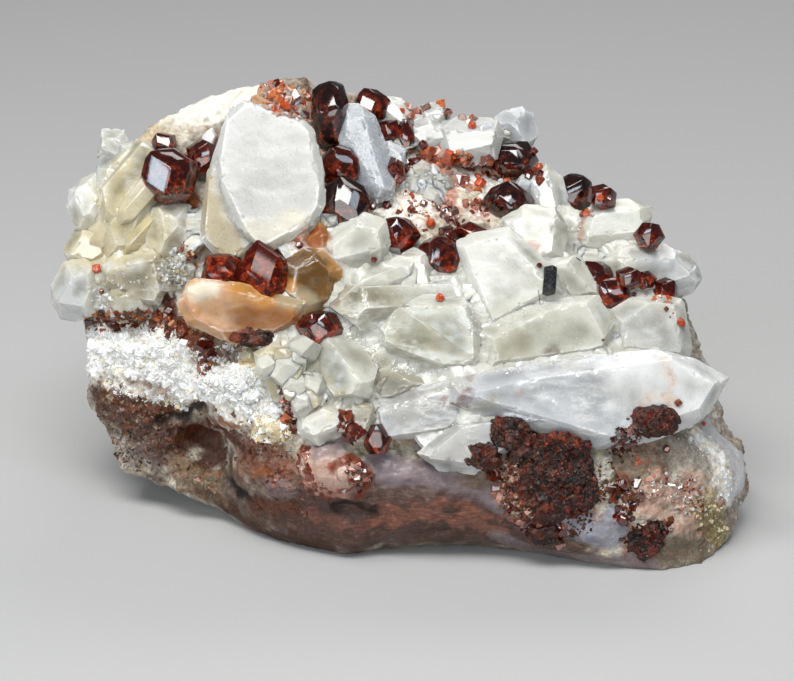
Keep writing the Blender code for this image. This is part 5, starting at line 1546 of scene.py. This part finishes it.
@dataclass
class Studio:
    """A pale floor and soft lights."""

    floor_side: float = 4.0
    floor_tint: tuple[float, float, float] = (0.42, 0.42, 0.42)

    def floor(self) -> None:
        """Makes the floor."""
        bpy.ops.object.select_all(action="DESELECT")
        bpy.ops.mesh.primitive_plane_add(size=self.floor_side, location=(0, 0, 0))
        floor = bpy.context.object
        floor.name = "floor"
        shader = Shader("floor")
        grain = shader.noise(2 * MM, 3)
        shader.set(Base_Color=self.floor_tint, Roughness=0.7, Normal=shader.bump(grain, 0.05 * MM, 0.2))
        floor.data.materials.append(shader.material)

    def light(self, name: str, way: tuple[float, float, float], size: tuple[float, float],
              radiance: float, tint: tuple[float, float, float] = (1.0, 0.985, 0.96)) -> None:
        """Makes one soft box that shines on the specimen.

        Args:
            name: the lamp's name.
            way: the direction of the lamp from the specimen.
            size: the box's width and height.
            radiance: how bright the box looks.
            tint: its colour.
        """
        data = bpy.data.lights.new(name, "AREA")
        data.shape = "RECTANGLE"
        data.color = tint
        data.size, data.size_y = size
        data.energy = radiance * math.pi * size[0] * size[1]
        lamp = bpy.data.objects.new(name, data)
        bpy.context.scene.collection.objects.link(lamp)
        lamp.location = VIEW.target + Vector(way).normalized() * 0.6
        lamp.rotation_euler = (-Vector(way)).to_track_quat("-Z", "Y").to_euler()

    def build(self) -> None:
        """Builds the studio round the specimen."""
        self.floor()
        cool = (0.72, 0.88, 1.0)
        self.light("key", (-0.15, -0.4, 0.9), (0.5, 0.22), 13.0)
        self.light("rear", (0.25, 0.6, 0.75), (0.4, 0.2), 3.6)
        self.light("right", (0.38, -0.42, 0.82), (0.18, 0.16), 4.5, cool)
        self.light("left", (-0.75, -0.5, 0.43), (0.16, 0.14), 9.5, cool)
        self.light("front", (-0.01, -0.86, 0.51), (0.17, 0.05), 8.0, cool)
        self.light("low", (-0.15, -0.95, 0.25), (0.4, 0.24), 3.6)
        world = bpy.data.worlds.new("studio")
        world.use_nodes = True
        world.node_tree.nodes["Background"].inputs[0].default_value = (0.96, 0.97, 1.0, 1)
        world.node_tree.nodes["Background"].inputs[1].default_value = 0.1
        bpy.context.scene.world = world
        bpy.context.scene.view_settings.view_transform = "Standard"


QUARTZ_FINISHES: dict[str, QuartzFinish] = {
    "quartz_amber": QuartzFinish("amber_quartz", Tint.AMBER, 0.8, milk=0.15, gloss=0.3),
    "quartz_back_crystals": QuartzFinish("crest_quartz", Tint.PEARL, 0.6, 0.3, 0.6, gloss=0.2),
    "quartz_back_cube": QuartzFinish("cube_quartz", Tint.BLUISH, 0.6, 0.3, 0.6, gloss=0.2),
    "quartz_centre_mass": QuartzFinish("centre_quartz", rough=0.12, gloss=0.25),
    "quartz_olive_block": QuartzFinish("olive_block_quartz", Tint.OLIVE),
    "quartz_olive_wedge": QuartzFinish("olive_wedge_quartz", Tint.OLIVE),
    "quartz_long_point": QuartzFinish("bluish_quartz", Tint.BLUISH, 0.6, 0.35, glow=1.0 * MM),
    "quartz_plates": QuartzFinish("plate_quartz", Tint.PEARL, 0.3, 0.2, 0.0, 0.25, 1.0 * MM, 0.2),
    "quartz_white_blade": QuartzFinish("blade_quartz", Tint.FROST, 0.6, 0.4, 0.6, 0.2, gloss=0.2),
    "quartz_grey_column": QuartzFinish("grey_quartz", Tint.OLIVE),
}
COMMON_QUARTZ = QuartzFinish("milky_quartz")
DARK = GarnetFinish("garnet_dark", (0.02, 0.005, 0.005), (0.16, 0.022, 0.01), (0.45, 0.1, 0.03),
                    density=3000.0)
RED = GarnetFinish("garnet_red")
DULL = GarnetFinish("garnet_dull", clear=0.25, rough=0.12, gloss=0.03)
GARNET_FINISHES = {"tall": DARK, "blue_face": DARK, "black": DARK, "back_black": DARK, "right_top": DARK, "pair": DULL}
CRUST_NODES = ("mass", "patch_foot", "patch_left", "patch_oval", "patch_right", "patch_upper", "seam")


def dress_grains(ground: Ground) -> None:
    """Lays the small garnets, crumbs, crystals and needles."""
    seeds = Seeds()
    strewing = Strewing(ground, random.Random(11))
    for bed in CRUMB_BEDS:
        strewing.strew(seeds.crumbs, bed)
    finish_piece(strewing.join("feldspar_crumbs"), CrumbFinish("feldspar_crumb").material())
    for bed in CHALK_BEDS:
        strewing.strew(seeds.crumbs, bed)
    finish_piece(strewing.join("feldspar_chalk"), CrumbFinish("chalk_crumb", 0.4, 0.12).material())
    for bed in GRIT_BEDS:
        strewing.strew(seeds.crumbs, bed)
    finish_piece(strewing.join("quartz_grit"), CrumbFinish("quartz_grit", 0.3).material())
    for bed in SHARD_BEDS:
        strewing.strew(seeds.points, bed)
    for growth in GROWTHS:
        strewing.grow(seeds.points, growth)
    shard = QuartzFinish("shard_quartz", clear=0.6, heart_shade=0.3, glow=0.5 * MM)
    finish_piece(strewing.join("quartz_shards"), shard.material())
    for bed in GARNET_BEDS:
        strewing.strew([seeds.garnet, *seeds.crumbs], bed)
    for single in SMALL_GARNETS:
        strewing.put([seeds.garnet], single, -0.15, 0.6)
    finish_piece(strewing.join("garnet_grains"), GrainFinish().material())
    for bed in SCREE_BEDS:
        strewing.strew(seeds.crumbs, bed)
    finish_piece(strewing.join("garnet_scree"), CrustFinish("scree").material())
    for single in NEEDLES:
        strewing.put([seeds.needle], single, -0.2, 1.0)
    finish_piece(strewing.join("schorl_needles"), SchorlFinish().material())
    seeds.clear()


def main() -> None:
    """Builds the specimen and the studio."""
    logging.basicConfig(level=logging.INFO, format="%(message)s")
    VIEW.make_camera()
    Studio().build()
    painter = Painter(Ground(list(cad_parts.values())))
    crusts = Crusts(Ground([node for name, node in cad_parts.items() if not name.startswith("garnet")]))
    dressed = [Block().dress(painter)]
    bond = QuartzFinish("bond_quartz", clear=0.4, glow=0.9 * MM, gloss=0.3)
    dressed.append(Bond().dress(painter, bond.material()))
    stones = {finish.name: finish.material() for finish in (DARK, RED, DULL)}
    schorl = SchorlFinish().material()
    crust = CrustFinish().material()
    for node in sorted(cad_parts):
        family, _, word = node.partition("_")
        if family == "quartz":
            dressed.append(Quartz().dress(node, painter, QUARTZ_FINISHES.get(node, COMMON_QUARTZ)))
        elif word in CRUST_NODES:
            dressed.append(crusts.dress(node, painter, crust))
        elif family == "garnet":
            stone = stones[GARNET_FINISHES.get(word, RED).name]
            dressed.append(Garnets().dress(node, stone, "garnet"))
        elif family == "schorl":
            dressed.append(Garnets(0.1 * MM).dress(node, schorl, "schorl"))
    dress_grains(Ground(dressed))


if __name__ == "__main__":
    main()
